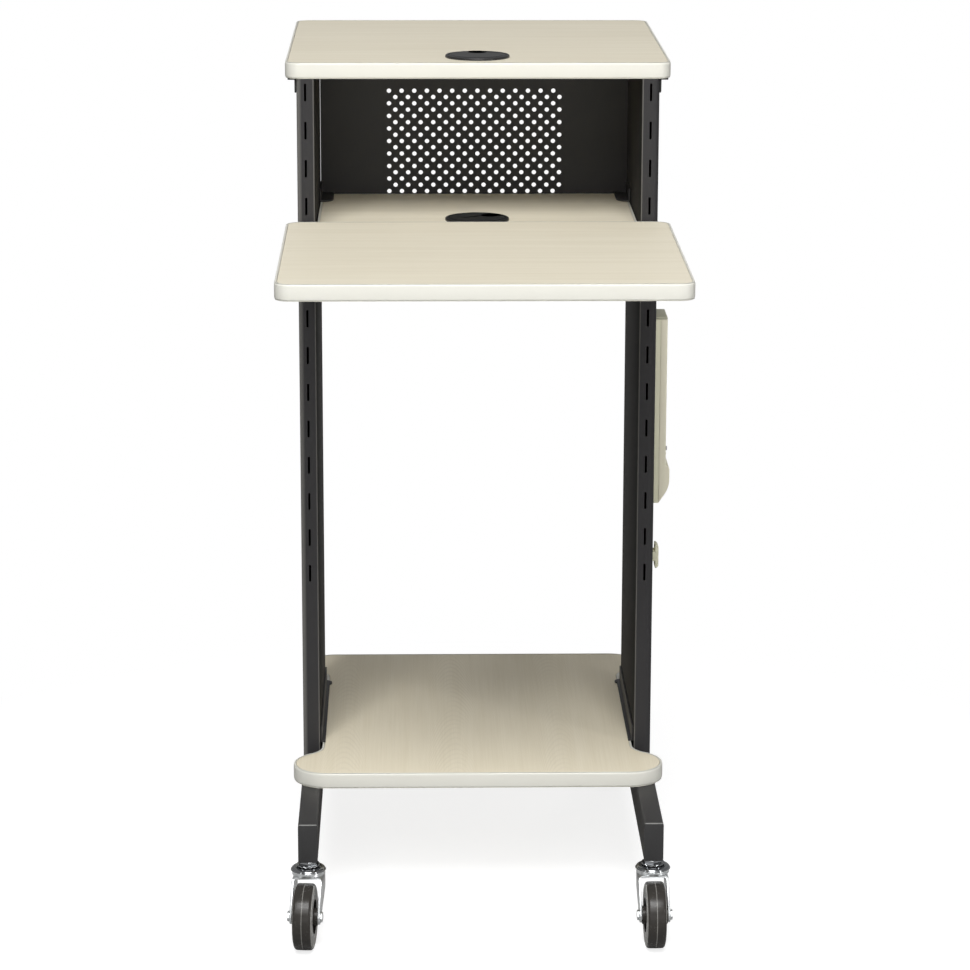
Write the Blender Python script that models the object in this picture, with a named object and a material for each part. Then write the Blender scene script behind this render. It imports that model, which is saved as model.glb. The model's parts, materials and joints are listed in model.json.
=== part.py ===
"""Audio visual cart: side panels on castered foot tubes, four shelves and a power strip.

Metres, +Z up, +X to the user's right, -Y towards the user. Every piece is placed from the
cart's own middle, which lies between the side panels. The frame empty then moves the whole
cart, so that the origin is on the floor under the middle of its overall box.
"""
import math

import bmesh
import bpy
from mathutils import Matrix, Vector

# Fits and facets that all pieces share
CONTACT_GAP = 0.0003
RUNNING_CLEARANCE = 0.00006
CUT_OVERRUN = 0.002
MERGE_DISTANCE = 0.000001
ROUND_SEGMENTS = 24
SMALL_ROUND_SEGMENTS = 12
CORNER_STEPS = 5
SMALL_CORNER_STEPS = 3
HEXAGON = 6
SHARP_ANGLE_DEG = 35

# Wheels and their axles
WHEEL_RADIUS = 0.039
WHEEL_TREAD_WIDTH = 0.022
WHEEL_HUB_WIDTH = 0.029
WHEEL_HUB_RADIUS = 0.0095
WHEEL_RECESS_DEPTH = 0.0035
WHEEL_RIM_RADIUS = 0.0195
WHEEL_RIM_SLOPE = 0.0015
WHEEL_SHOULDER = 0.003
AXLE_RADIUS = 0.004
AXLE_HEAD_RADIUS = 0.0068
AXLE_HEAD_THICKNESS = 0.0026

# Caster forks, which turn on stems fixed in the foot tubes
CASTER_TRAIL = 0.035
FORK_SHEET = 0.0025
FORK_HUB_CLEARANCE = 0.00075
FORK_CROWN_CLEARANCE = 0.0005
FORK_DEPTH = 0.037
FORK_CROWN_RADIUS = 0.005
FORK_EAR_RADIUS = 0.009
FORK_EAR_ARC_DEG = (165, 300)
FORK_REAR_EDGE = 0.024
RACE_RING_RADIUS = 0.0193
RACE_RING_HEIGHT = 0.0037
RACE_RING_SINK = 0.0006
RACE_CAP_RADIUS = 0.02075
RACE_CAP_HEIGHT = 0.0035
RACE_CAP_ROUND = 0.0012
KINGPIN_RADIUS = 0.0055
KINGPIN_HEAD_RADIUS = 0.008
KINGPIN_HEAD_HEIGHT = 0.004
STEM_NUT_RADIUS = 0.011
STEM_NUT_HEIGHT = 0.0082
STUD_RADIUS = 0.005
STUD_LENGTH = 0.012
STUD_TIP = 0.001
STEM_INSET = 0.012
CASTER_YAWS_DEG = {"front_left": -5.4, "front_right": 1.0, "rear_left": 3.0, "rear_right": -4.0}

# Brake pedals on the rear casters
PEDAL_SHEET = 0.0015
PEDAL_SIDE_CLEARANCE = 0.0005
PEDAL_PIVOT_RADIUS = 0.0025
PEDAL_PIVOT_FORWARD = 0.020
PEDAL_PIVOT_DROP = 0.010
PEDAL_EYE_RADIUS = 0.005
PEDAL_EYE_ARC_DEG = (230, 400)
PEDAL_TREAD_CLEARANCE = 0.0045
PEDAL_SLOPE_DEG = 21.0
PEDAL_ROOF_BACK = 0.014
PEDAL_ROOF_FRONT = 0.038
PEDAL_ARM_FRONT = 0.016
PEDAL_ROOF_OVERHANG = 0.0005

# Foot tubes
FOOT_TUBE_WIDTH = 0.023
FOOT_TUBE_HEIGHT = 0.0467
FOOT_TUBE_WALL = 0.0018
FOOT_TUBE_CORNER_RADIUS = 0.003
FOOT_FRONT_REACH = 0.377
FOOT_REAR_REACH = 0.302
FOOT_INSET = 0.0015
FOOT_CAP_THICKNESS = 0.003
FOOT_PLUG_LENGTH = 0.003
FOOT_PLUG_CLEARANCE = 0.0003

# Side panels with their column of slots
PANEL_SPACING = 0.388
PANEL_THICKNESS = 0.021
PANEL_DEPTH = 0.267
PANEL_HEIGHT = 0.8427
PANEL_WALL = 0.0016
PANEL_OUTER_RADIUS = 0.008
PANEL_INNER_RADIUS = 0.002
SLOT_COUNT = 14
SLOT_PITCH = 0.0453
SLOT_LENGTH = 0.021
SLOT_WIDTH = 0.0027
FIRST_SLOT_DROP = 0.0159

# Shelves and their edging
SHELF_WIDTH = 0.457
SHELF_THICKNESS = 0.019
SHELF_CORNER_RADIUS = 0.018
EDGING_THICKNESS = 0.0032
EDGING_BEVEL = 0.0012
TOP_SHELF_DEPTH = 0.450
TOP_SHELF_OVERHANG = 0.0005
MIDDLE_SHELF_DROP = 0.1777
MIDDLE_SHELF_SIDE_CLEARANCE = 0.001
MIDDLE_SHELF_FRONT_INSET = 0.001
MIDDLE_SHELF_CORNER_RADIUS = 0.006
KEYBOARD_SHELF_DEPTH = 0.400
KEYBOARD_SHELF_STAND_OFF = 0.003
LOWER_SHELF_WIDTH = 0.450
LOWER_SHELF_DEPTH = 0.495
LOWER_SHELF_EAR_RADIUS = 0.042
LOWER_SHELF_NECK_RADIUS = 0.030
LOWER_SHELF_NECK_CLEARANCE = 0.0025
EAR_STEPS = 9

# Cable grommets in the top and middle shelves
GROMMET_SETBACK = 0.056
GROMMET_RADIUS = 0.0385
GROMMET_SLEEVE_RADIUS = 0.035
GROMMET_BORE_RADIUS = 0.0325
GROMMET_SEAT_RADIUS = 0.0348
GROMMET_RIM_HEIGHT = 0.003
GROMMET_RIM_ROUND = 0.0012
GROMMET_SEAT_HEIGHT = 0.0009
GROMMET_SLEEVE_LENGTH = 0.016
GROMMET_REBATE = 0.001
GROMMET_CAP_THICKNESS = 0.0022
GROMMET_CAP_CLEARANCE = 0.0004
CABLE_NOTCH_WIDTH = 0.018
CABLE_NOTCH_REACH = 0.022
CAP_TURNS_DEG = {"top": 90.0, "middle": 40.0}

# Perforated back panel
BACK_SHEET = 0.0012
BACK_FLANGE = 0.011
BACK_SIDE_CLEARANCE = 0.0006
BACK_DROP = 0.222
HOLE_PITCH = 0.015875
HOLE_RADIUS = 0.0028
HOLE_COLUMNS = 14
HOLE_ROWS = 17
FIRST_HOLE_DROP = 0.0474

# Angles and brackets of bent sheet
ANGLE_SHEET = 0.002
TOP_ANGLE_HEIGHT = 0.018
TOP_ANGLE_WIDTH = 0.010
TOP_ANGLE_LENGTH = 0.250
TOP_ANGLE_CORNER_RADIUS = 0.006
RAIL_HEIGHT = 0.024
RAIL_WIDTH = 0.022
RAIL_LENGTH = 0.230
CLIP_LENGTH = 0.066
CLIP_WIDTH = 0.017
CLIP_HEIGHT = 0.016
CLIP_CORNER_RADIUS = 0.014
LOWER_ANGLE_HEIGHT = 0.020
LOWER_ANGLE_WIDTH = 0.006
LOWER_ANGLE_FRONT_INSET = 0.006
LOWER_ANGLE_REAR_INSET = 0.009
LOWER_ANGLE_TAB_RADIUS = 0.0088
BRACKET_SHEET = 0.0022
BRACKET_SLOT = 4
BRACKET_HOOKS = 2
BRACKET_RISE = 0.0081
BRACKET_LENGTH = 0.330
BRACKET_HEIGHT = 0.070
BRACKET_NOSE_HEIGHT = 0.010
BRACKET_HEEL_LENGTH = 0.020
BRACKET_FLANGE = 0.018
HOOK_NECK = 0.009
HOOK_DROP = 0.007
HOOK_THICKNESS = 0.003

# Power strip on the right panel
STRIP_DROP = 0.3067
STRIP_LENGTH = 0.237
STRIP_WIDTH = 0.050
STRIP_FRONT = 0.030
STRIP_WALL = 0.002
STRIP_BASE_DEPTH = 0.0125
STRIP_COVER_DEPTH = 0.021
STRIP_CAP_LENGTH = 0.0035
STRIP_CAP_ROUND = 0.002
CONTROL_LENGTH = 0.0474
CONTROL_DEPTH = 0.026
CONTROL_TAPER = 0.020
OUTLET_COUNT = 4
OUTLET_PITCH = 0.0385
FIRST_OUTLET_DROP = 0.022
BLADE_SPACING = 0.0127
BLADE_SLOT_WIDTH = 0.0018
BLADE_SLOT_LENGTH = 0.0085
GROUND_HOLE_RADIUS = 0.0026
GROUND_HOLE_DROP = 0.0115
ROCKER_SILL = 0.0005
ROCKER_WIDTH = 0.013
ROCKER_RADIUS = 0.006
ROCKER_CLEARANCE = 0.0004
ROCKER_PIVOT_DEPTH = 0.020
ROCKER_END_ANGLE_DEG = 20.0
ROCKER_WAIST = 0.0012
ROCKER_REST_TILT_DEG = 12.0
BUTTON_BRIDGE = 0.0008
BUTTON_RADIUS = 0.0027
BUTTON_CLEARANCE = 0.0003
BUTTON_PROUD = 0.003
BUTTON_LIP = 0.0006
BUTTON_FLANGE_THICKNESS = 0.0012
BUTTON_STEM_LENGTH = 0.003
GLAND_RADIUS = 0.0055
GLAND_NECK_RADIUS = 0.0044
GLAND_BORE_RADIUS = 0.0034
GLAND_FLANGE = 0.0015
GLAND_LENGTH = 0.010
GLAND_TIP_RADIUS = 0.0046
GLAND_NECK_END = 0.001
GLAND_RISE = 0.014

# Cord cleat under the power strip
CLEAT_DROP = 0.6172
CLEAT_WIDTH = 0.022
CLEAT_BASE_LENGTH = 0.026
CLEAT_BASE_THICKNESS = 0.002
CLEAT_STEM_LENGTH = 0.012
CLEAT_GAP = 0.0085
CLEAT_HORN_LENGTH = 0.030
CLEAT_HORN_THICKNESS = 0.0045
CLEAT_HORN_BEVEL = 0.0025

# Heights, stacked up from the floor
AXLE_HEIGHT = WHEEL_RADIUS
FORK_CROWN_BOTTOM = 2 * WHEEL_RADIUS + FORK_CROWN_CLEARANCE
FORK_CROWN_TOP = FORK_CROWN_BOTTOM + FORK_SHEET
RACE_RING_TOP = FORK_CROWN_TOP + RACE_RING_HEIGHT
RACE_CAP_BOTTOM = RACE_RING_TOP + CONTACT_GAP
RACE_CAP_TOP = RACE_CAP_BOTTOM + RACE_CAP_HEIGHT
STEM_NUT_TOP = RACE_CAP_TOP + STEM_NUT_HEIGHT
FOOT_BOTTOM = STEM_NUT_TOP + CONTACT_GAP
FOOT_TOP = FOOT_BOTTOM + FOOT_TUBE_HEIGHT
LOWER_SHELF_TOP = FOOT_TOP + CONTACT_GAP + SHELF_THICKNESS
PANEL_BOTTOM = FOOT_TOP + CONTACT_GAP
PANEL_TOP = PANEL_BOTTOM + PANEL_HEIGHT
TOP_SHELF_TOP = PANEL_TOP + CONTACT_GAP + SHELF_THICKNESS
FIRST_SLOT_HEIGHT = PANEL_TOP - FIRST_SLOT_DROP
MIDDLE_SHELF_TOP = PANEL_TOP - MIDDLE_SHELF_DROP
BRACKET_TOP = FIRST_SLOT_HEIGHT - BRACKET_SLOT * SLOT_PITCH + BRACKET_RISE
KEYBOARD_SHELF_TOP = BRACKET_TOP + CONTACT_GAP + SHELF_THICKNESS

# Places across and along the cart
PANEL_INNER_X = PANEL_SPACING / 2
PANEL_MIDDLE_X = PANEL_INNER_X + PANEL_THICKNESS / 2
PANEL_OUTER_X = PANEL_INNER_X + PANEL_THICKNESS
PANEL_FRONT_Y = -PANEL_DEPTH / 2
FOOT_X = PANEL_MIDDLE_X - FOOT_INSET
FOOT_ENDS = {"front": -FOOT_FRONT_REACH, "rear": FOOT_REAR_REACH}
CASTER_Y = {"front": STEM_INSET - FOOT_FRONT_REACH, "rear": FOOT_REAR_REACH - STEM_INSET}
TOP_SHELF_FRONT_Y = PANEL_FRONT_Y - TOP_SHELF_OVERHANG
TOP_SHELF_REAR_Y = TOP_SHELF_FRONT_Y + TOP_SHELF_DEPTH
BACK_SHEET_Y = PANEL_DEPTH / 2 - BACK_FLANGE - BACK_SHEET
MIDDLE_SHELF_FRONT_Y = PANEL_FRONT_Y + MIDDLE_SHELF_FRONT_INSET
MIDDLE_SHELF_REAR_Y = BACK_SHEET_Y - CONTACT_GAP
KEYBOARD_SHELF_REAR_Y = PANEL_FRONT_Y - KEYBOARD_SHELF_STAND_OFF
KEYBOARD_SHELF_FRONT_Y = KEYBOARD_SHELF_REAR_Y - KEYBOARD_SHELF_DEPTH
STRIP_BACK_X = PANEL_OUTER_X + CONTACT_GAP
STRIP_TOP = PANEL_TOP - STRIP_DROP
STRIP_BOTTOM = STRIP_TOP - STRIP_LENGTH
STRIP_Y = STRIP_WIDTH / 2 - STRIP_FRONT
COVER_BACK_DEPTH = STRIP_BASE_DEPTH + CONTACT_GAP
COVER_TOP = STRIP_LENGTH - STRIP_CAP_LENGTH - CONTACT_GAP
ROCKER_REACH = ROCKER_RADIUS + ROCKER_CLEARANCE
ROCKER_RISE = CONTROL_LENGTH + ROCKER_SILL + ROCKER_REACH
BUTTON_HOLE_RADIUS = BUTTON_RADIUS + BUTTON_CLEARANCE
BUTTON_RISE = ROCKER_RISE + ROCKER_REACH + BUTTON_BRIDGE + BUTTON_HOLE_RADIUS

# The overall box, whose middle is the origin
BOX_LEFT = -SHELF_WIDTH / 2
BOX_RIGHT = STRIP_BACK_X + CONTROL_DEPTH
BOX_FRONT = KEYBOARD_SHELF_FRONT_Y
BOX_REAR = max(CASTER_Y["rear"] + RACE_CAP_RADIUS, TOP_SHELF_REAR_Y)

# Finishes: colour, roughness, metallic
FINISHES = {
    "cream_laminate": ((0.62, 0.57, 0.46, 1.0), 0.45, 0.0),
    "cream_edging": ((0.80, 0.77, 0.68, 1.0), 0.40, 0.0),
    "black_powder_coat": ((0.035, 0.034, 0.036, 1.0), 0.45, 0.0),
    "black_plastic": ((0.012, 0.012, 0.012, 1.0), 0.40, 0.0),
    "beige_plastic": ((0.58, 0.54, 0.40, 1.0), 0.45, 0.0),
    "grey_plastic": ((0.36, 0.36, 0.34, 1.0), 0.50, 0.0),
    "bright_zinc": ((0.75, 0.77, 0.78, 1.0), 0.25, 1.0),
    "chrome": ((0.55, 0.56, 0.57, 1.0), 0.10, 1.0),
    "hard_black_rubber": ((0.020, 0.019, 0.018, 1.0), 0.35, 0.0),
}


def clear_scene():
    for thing in list(bpy.data.objects):
        bpy.data.objects.remove(thing, do_unlink=True)


def make_materials():
    """One Principled material for each finish."""
    for name, (colour, roughness, metallic) in FINISHES.items():
        material = bpy.data.materials.new(name)
        material.use_nodes = True
        shader = material.node_tree.nodes["Principled BSDF"]
        shader.inputs["Base Color"].default_value = colour
        shader.inputs["Roughness"].default_value = roughness
        shader.inputs["Metallic"].default_value = metallic
        material.diffuse_color = colour


def empty(name, parent=None, location=(0, 0, 0), yaw=0.0):
    """An axis or a frame that pieces hang from."""
    axis = bpy.data.objects.new(name, None)
    bpy.context.collection.objects.link(axis)
    axis.parent = parent
    axis.location = location
    axis.rotation_euler = (0, 0, yaw)
    return axis


def solid(name, bm):
    """An object made of one closed bmesh, with its faces turned outwards."""
    bmesh.ops.recalc_face_normals(bm, faces=bm.faces)
    mesh = bpy.data.meshes.new(name)
    bm.to_mesh(mesh)
    bm.free()
    piece = bpy.data.objects.new(name, mesh)
    bpy.context.collection.objects.link(piece)
    return piece


def combine(piece, tool, operation):
    """Applies one exact Boolean to the piece and removes the tool."""
    modifier = piece.modifiers.new(operation.lower(), "BOOLEAN")
    modifier.operation = operation
    modifier.solver = "EXACT"
    modifier.object = tool
    evaluated = piece.evaluated_get(bpy.context.evaluated_depsgraph_get())
    mesh = bpy.data.meshes.new_from_object(evaluated)
    piece.modifiers.clear()
    old_mesh = piece.data
    piece.data = mesh
    bpy.data.meshes.remove(old_mesh)
    bpy.data.objects.remove(tool, do_unlink=True)
    return piece


def settle(piece, finish, parent, location=(0, 0, 0), smooth=False):
    """Gives a finished piece its material, its shading and its place."""
    piece.data.materials.clear()
    piece.data.materials.append(bpy.data.materials[finish])
    if smooth:
        piece.data.shade_smooth()
        piece.data.set_sharp_from_angle(angle=math.radians(SHARP_ANGLE_DEG))
    piece.parent = parent
    piece.location = location
    return piece


def along_x(u, v, w):
    return (w, u, v)


def along_y(u, v, w):
    return (u, w, v)


def along_z(u, v, w):
    return (u, v, w)


def prism(name, outline, low, high, place, holes=()):
    """The outline, less its holes, drawn straight from low to high."""
    bm = bmesh.new()
    rims = []
    for loop in (outline, *holes):
        corners = [bm.verts.new(place(u, v, low)) for u, v in loop]
        rims += [bm.edges.new(ends) for ends in zip(corners, corners[1:] + corners[:1])]
    if holes:
        bmesh.ops.triangle_fill(bm, use_beauty=True, edges=rims)
    else:
        bm.faces.new(corners)
    drawn = bmesh.ops.extrude_face_region(bm, geom=list(bm.faces), use_keep_orig=True)
    lifted = [item for item in drawn["geom"] if isinstance(item, bmesh.types.BMVert)]
    bmesh.ops.translate(bm, vec=Vector(place(0, 0, high - low)), verts=lifted)
    return solid(name, bm)


def turned(name, profile, segments, closed=False, across=False):
    """The profile of (radius, height) pairs spun about Z, or about X when across is set."""
    bm = bmesh.new()
    points = [(height, 0, -radius) if across else (radius, 0, height) for radius, height in profile]
    corners = [bm.verts.new(point) for point in points]
    edges = [bm.edges.new(ends) for ends in zip(corners, corners[1:])]
    if closed:
        edges.append(bm.edges.new((corners[-1], corners[0])))
    bmesh.ops.spin(
        bm,
        geom=corners + edges,
        cent=(0, 0, 0),
        axis=(1, 0, 0) if across else (0, 0, 1),
        angle=math.tau,
        steps=segments,
    )
    bmesh.ops.remove_doubles(bm, verts=bm.verts, dist=MERGE_DISTANCE)
    return solid(name, bm)


def banded(name, outline_at, section):
    """A closed ring: the section of (inset, height) pairs carried round the outline."""
    bm = bmesh.new()
    loops = []
    for inset, height in section:
        loops.append([bm.verts.new((x, y, height)) for x, y in outline_at(inset)])
    for lower, upper in zip(loops, loops[1:] + loops[:1]):
        for here, after in zip(range(-1, len(lower) - 1), range(len(lower))):
            bm.faces.new((lower[here], lower[after], upper[after], upper[here]))
    return solid(name, bm)


def arc(centre, radius, start_deg, end_deg, steps):
    """Points along an arc, both ends included."""
    turn = math.radians(end_deg - start_deg) / steps
    angles = [math.radians(start_deg) + turn * step for step in range(steps + 1)]
    return [(centre[0] + radius * math.cos(a), centre[1] + radius * math.sin(a)) for a in angles]


def circle(centre, radius, segments):
    return arc(centre, radius, 0, 360, segments)[:-1]


def around(radius, segments):
    """The corner radius of a polygon whose sides clear a round pin of the radius."""
    return radius / math.cos(math.pi / segments)


def rectangle(left, right, low, high):
    return [(left, low), (right, low), (right, high), (left, high)]


def rounded_rectangle(left, right, low, high, radii, steps):
    """The four radii start at the corner of right and high and run anticlockwise."""
    outline = []
    corners = ((right, high, -1, -1), (left, high, 1, -1), (left, low, 1, 1), (right, low, -1, 1))
    for quarter, ((x, y, inward_x, inward_y), radius) in enumerate(zip(corners, radii)):
        centre = (x + inward_x * radius, y + inward_y * radius)
        outline += arc(centre, radius, 90 * quarter, 90 * (quarter + 1), steps)
    return outline


def mirrored(outline, side):
    """The outline on the cart's right for side 1 and on its left for side -1."""
    return [(side * x, y) for x, y in outline]


def shelf_outline(half_width, front, rear, radius):
    """Returns a function that gives the shelf's outline at an inset."""
    def outline_at(inset):
        return rounded_rectangle(
            inset - half_width,
            half_width - inset,
            front + inset,
            rear - inset,
            [radius - inset] * 4,
            CORNER_STEPS,
        )
    return outline_at


def lower_shelf_outline(inset):
    """Ears at the four corners, drawn in to a neck that passes between the side panels."""
    ear_x = LOWER_SHELF_WIDTH / 2 - LOWER_SHELF_EAR_RADIUS
    ear_y = LOWER_SHELF_DEPTH / 2 - LOWER_SHELF_EAR_RADIUS
    neck = PANEL_INNER_X - LOWER_SHELF_NECK_CLEARANCE
    fillet_x = neck + LOWER_SHELF_NECK_RADIUS
    across = fillet_x - ear_x
    reach = LOWER_SHELF_EAR_RADIUS + LOWER_SHELF_NECK_RADIUS
    fillet_y = ear_y - math.sqrt(reach ** 2 - across ** 2)
    meeting_deg = math.degrees(math.atan2(ear_y - fillet_y, ear_x - fillet_x))
    fillet_radius = LOWER_SHELF_NECK_RADIUS + inset
    ear_radius = LOWER_SHELF_EAR_RADIUS - inset
    quarter = arc((fillet_x, fillet_y), fillet_radius, 180, meeting_deg, CORNER_STEPS)
    quarter += arc((ear_x, ear_y), ear_radius, meeting_deg - 180, 90, EAR_STEPS)[1:]
    rear_left = [(-x, y) for x, y in reversed(quarter)]
    front_left = [(-x, -y) for x, y in quarter]
    front_right = [(x, -y) for x, y in reversed(quarter)]
    return quarter + rear_left + front_left + front_right


def make_shelf(name, outline_at, top, parent, grommet_y=None):
    """A laminated board, with a rebated hole where it has a grommet, and the edging round it."""
    board_inset = EDGING_THICKNESS + CONTACT_GAP
    holes = []
    if grommet_y is not None:
        hole_radius = GROMMET_SLEEVE_RADIUS + CONTACT_GAP
        holes.append(circle((0, grommet_y), around(hole_radius, ROUND_SEGMENTS), ROUND_SEGMENTS))
    board = prism(name, outline_at(board_inset), -SHELF_THICKNESS, 0, along_z, holes)
    if grommet_y is not None:
        rebate_radius = around(GROMMET_RADIUS + CONTACT_GAP, ROUND_SEGMENTS)
        ring = circle((0, grommet_y), rebate_radius, ROUND_SEGMENTS)
        rebate = prism("rebate", ring, -GROMMET_REBATE, CUT_OVERRUN, along_z)
        combine(board, rebate, "DIFFERENCE")
    settle(board, "cream_laminate", parent, (0, 0, top), smooth=True)
    section = [
        (EDGING_BEVEL, -SHELF_THICKNESS),
        (0, EDGING_BEVEL - SHELF_THICKNESS),
        (0, -EDGING_BEVEL),
        (EDGING_BEVEL, 0),
        (EDGING_THICKNESS, 0),
        (EDGING_THICKNESS, -SHELF_THICKNESS),
    ]
    edging = banded(name + "_edging", outline_at, section)
    settle(edging, "cream_edging", parent, (0, 0, top), smooth=True)


def make_grommet(place, grommet_y, top, frame):
    """A flanged liner in the shelf's hole and a cap with a cable notch that turns in it."""
    profile = [
        (GROMMET_BORE_RADIUS, -GROMMET_SLEEVE_LENGTH),
        (GROMMET_SLEEVE_RADIUS, -GROMMET_SLEEVE_LENGTH),
        (GROMMET_SLEEVE_RADIUS, CONTACT_GAP - GROMMET_REBATE),
        (GROMMET_RADIUS, CONTACT_GAP - GROMMET_REBATE),
        (GROMMET_RADIUS, GROMMET_RIM_HEIGHT - GROMMET_RIM_ROUND),
        (GROMMET_RADIUS - GROMMET_RIM_ROUND, GROMMET_RIM_HEIGHT),
        (GROMMET_SEAT_RADIUS, GROMMET_RIM_HEIGHT),
        (GROMMET_SEAT_RADIUS, GROMMET_SEAT_HEIGHT),
        (GROMMET_BORE_RADIUS, GROMMET_SEAT_HEIGHT),
    ]
    liner = turned(place + "_grommet_liner", profile, ROUND_SEGMENTS, closed=True)
    settle(liner, "black_plastic", frame, (0, grommet_y, top), smooth=True)

    seat_inradius = GROMMET_SEAT_RADIUS * math.cos(math.pi / ROUND_SEGMENTS)
    cap_radius = seat_inradius - GROMMET_CAP_CLEARANCE
    notch_half = CABLE_NOTCH_WIDTH / 2
    mouth_deg = math.degrees(math.asin(notch_half / cap_radius))
    outline = arc((0, 0), cap_radius, mouth_deg, 360 - mouth_deg, ROUND_SEGMENTS)
    notch_centre = (cap_radius - CABLE_NOTCH_REACH + notch_half, 0)
    outline += arc(notch_centre, notch_half, 270, 90, 2 * SMALL_CORNER_STEPS)
    low = GROMMET_SEAT_HEIGHT + CONTACT_GAP
    cap = prism(place + "_grommet_cap", outline, low, low + GROMMET_CAP_THICKNESS, along_z)
    axis = empty(place + "_grommet_axis", frame, (0, grommet_y, top), math.radians(CAP_TURNS_DEG[place]))
    settle(cap, "black_plastic", axis)


def make_side_panel(name, side, frame):
    """A deep, flat tube of sheet steel, with one column of slots down its front."""
    radii_out = [PANEL_OUTER_RADIUS, PANEL_INNER_RADIUS, PANEL_INNER_RADIUS, PANEL_OUTER_RADIUS]
    radii_in = [max(radius - PANEL_WALL, PANEL_WALL / 2) for radius in radii_out]
    outer = rounded_rectangle(
        PANEL_INNER_X, PANEL_OUTER_X, PANEL_FRONT_Y, -PANEL_FRONT_Y, radii_out, SMALL_CORNER_STEPS
    )
    inner = rounded_rectangle(
        PANEL_INNER_X + PANEL_WALL,
        PANEL_OUTER_X - PANEL_WALL,
        PANEL_FRONT_Y + PANEL_WALL,
        -PANEL_FRONT_Y - PANEL_WALL,
        radii_in,
        SMALL_CORNER_STEPS,
    )
    panel = prism(
        name, mirrored(outer, side), PANEL_BOTTOM, PANEL_TOP, along_z, [mirrored(inner, side)]
    )
    combine(panel, slot_cutter(side), "DIFFERENCE")
    settle(panel, "black_powder_coat", frame, smooth=True)


def slot_cutter(side):
    """One bar for each slot in the front wall of a side panel, all in one piece."""
    bm = bmesh.new()
    depth = PANEL_WALL + 2 * CUT_OVERRUN
    for slot in range(SLOT_COUNT):
        place = (
            side * PANEL_MIDDLE_X,
            PANEL_FRONT_Y + PANEL_WALL / 2,
            FIRST_SLOT_HEIGHT - slot * SLOT_PITCH,
        )
        size = Matrix.Diagonal((SLOT_WIDTH, depth, SLOT_LENGTH, 1))
        bmesh.ops.create_cube(bm, size=1, matrix=Matrix.Translation(place) @ size)
    return solid("slot_cutter", bm)


def make_foot(name, side, frame):
    """A rectangular tube that carries a side panel, with a plug in each open end."""
    half_width = FOOT_TUBE_WIDTH / 2
    tube_front = FOOT_ENDS["front"] + FOOT_CAP_THICKNESS + CONTACT_GAP
    tube_rear = FOOT_ENDS["rear"] - FOOT_CAP_THICKNESS - CONTACT_GAP
    outer_radii = [FOOT_TUBE_CORNER_RADIUS] * 4
    inner_radii = [FOOT_TUBE_CORNER_RADIUS - FOOT_TUBE_WALL] * 4
    bottom, top = FOOT_BOTTOM, FOOT_TOP
    outer = rounded_rectangle(-half_width, half_width, bottom, top, outer_radii, SMALL_CORNER_STEPS)
    inner = rounded_rectangle(
        FOOT_TUBE_WALL - half_width,
        half_width - FOOT_TUBE_WALL,
        bottom + FOOT_TUBE_WALL,
        top - FOOT_TUBE_WALL,
        inner_radii,
        SMALL_CORNER_STEPS,
    )
    tube = prism(name, outer, tube_front, tube_rear, along_y, [inner])
    hole = circle((0, 0), around(STUD_RADIUS + CONTACT_GAP, SMALL_ROUND_SEGMENTS), SMALL_ROUND_SEGMENTS)
    for caster_y in CASTER_Y.values():
        ring = [(x, y + caster_y) for x, y in hole]
        low = bottom - CUT_OVERRUN
        high = bottom + FOOT_TUBE_WALL + CUT_OVERRUN
        combine(tube, prism("stud_hole", ring, low, high, along_z), "DIFFERENCE")
    settle(tube, "black_powder_coat", frame, (side * FOOT_X, 0, 0), smooth=True)

    plug_gap = FOOT_TUBE_WALL + FOOT_PLUG_CLEARANCE
    plug_outline = rounded_rectangle(
        plug_gap - half_width,
        half_width - plug_gap,
        bottom + plug_gap,
        top - plug_gap,
        inner_radii,
        SMALL_CORNER_STEPS,
    )
    for end_name, outside in FOOT_ENDS.items():
        inward = -1 if end_name == "rear" else 1
        shoulder = outside + inward * FOOT_CAP_THICKNESS
        inside = shoulder + inward * FOOT_PLUG_LENGTH
        middle = (outside + shoulder) / 2
        cap = prism(name + "_" + end_name + "_cap", outer, shoulder, outside, along_y)
        plug = prism("plug", plug_outline, inside, middle, along_y)
        combine(cap, plug, "UNION")
        settle(cap, "black_plastic", frame, (side * FOOT_X, 0, 0), smooth=True)


def make_back_panel(frame):
    """Perforated sheet between the side panels, with flanges bent back along both sides."""
    half_width = PANEL_INNER_X - BACK_SIDE_CLEARANCE
    top = PANEL_TOP
    bottom = top - BACK_DROP
    row_height = HOLE_PITCH / 2
    holes = []
    for row in range(HOLE_ROWS):
        stagger = HOLE_PITCH / 4 if row % 2 else -HOLE_PITCH / 4
        z = top - FIRST_HOLE_DROP - row * row_height
        for column in range(HOLE_COLUMNS):
            x = (column - (HOLE_COLUMNS - 1) / 2) * HOLE_PITCH + stagger
            holes.append(circle((x, z), HOLE_RADIUS, HEXAGON))
    sheet = rectangle(-half_width, half_width, bottom, top)
    panel = prism("back_panel", sheet, BACK_SHEET_Y, BACK_SHEET_Y + BACK_SHEET, along_y, holes)
    for side in (-1, 1):
        flange = rectangle(half_width - BACK_SHEET, half_width, BACK_SHEET_Y, PANEL_DEPTH / 2)
        combine(panel, prism("flange", mirrored(flange, side), bottom, top, along_z), "UNION")
    settle(panel, "black_powder_coat", frame)


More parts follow.
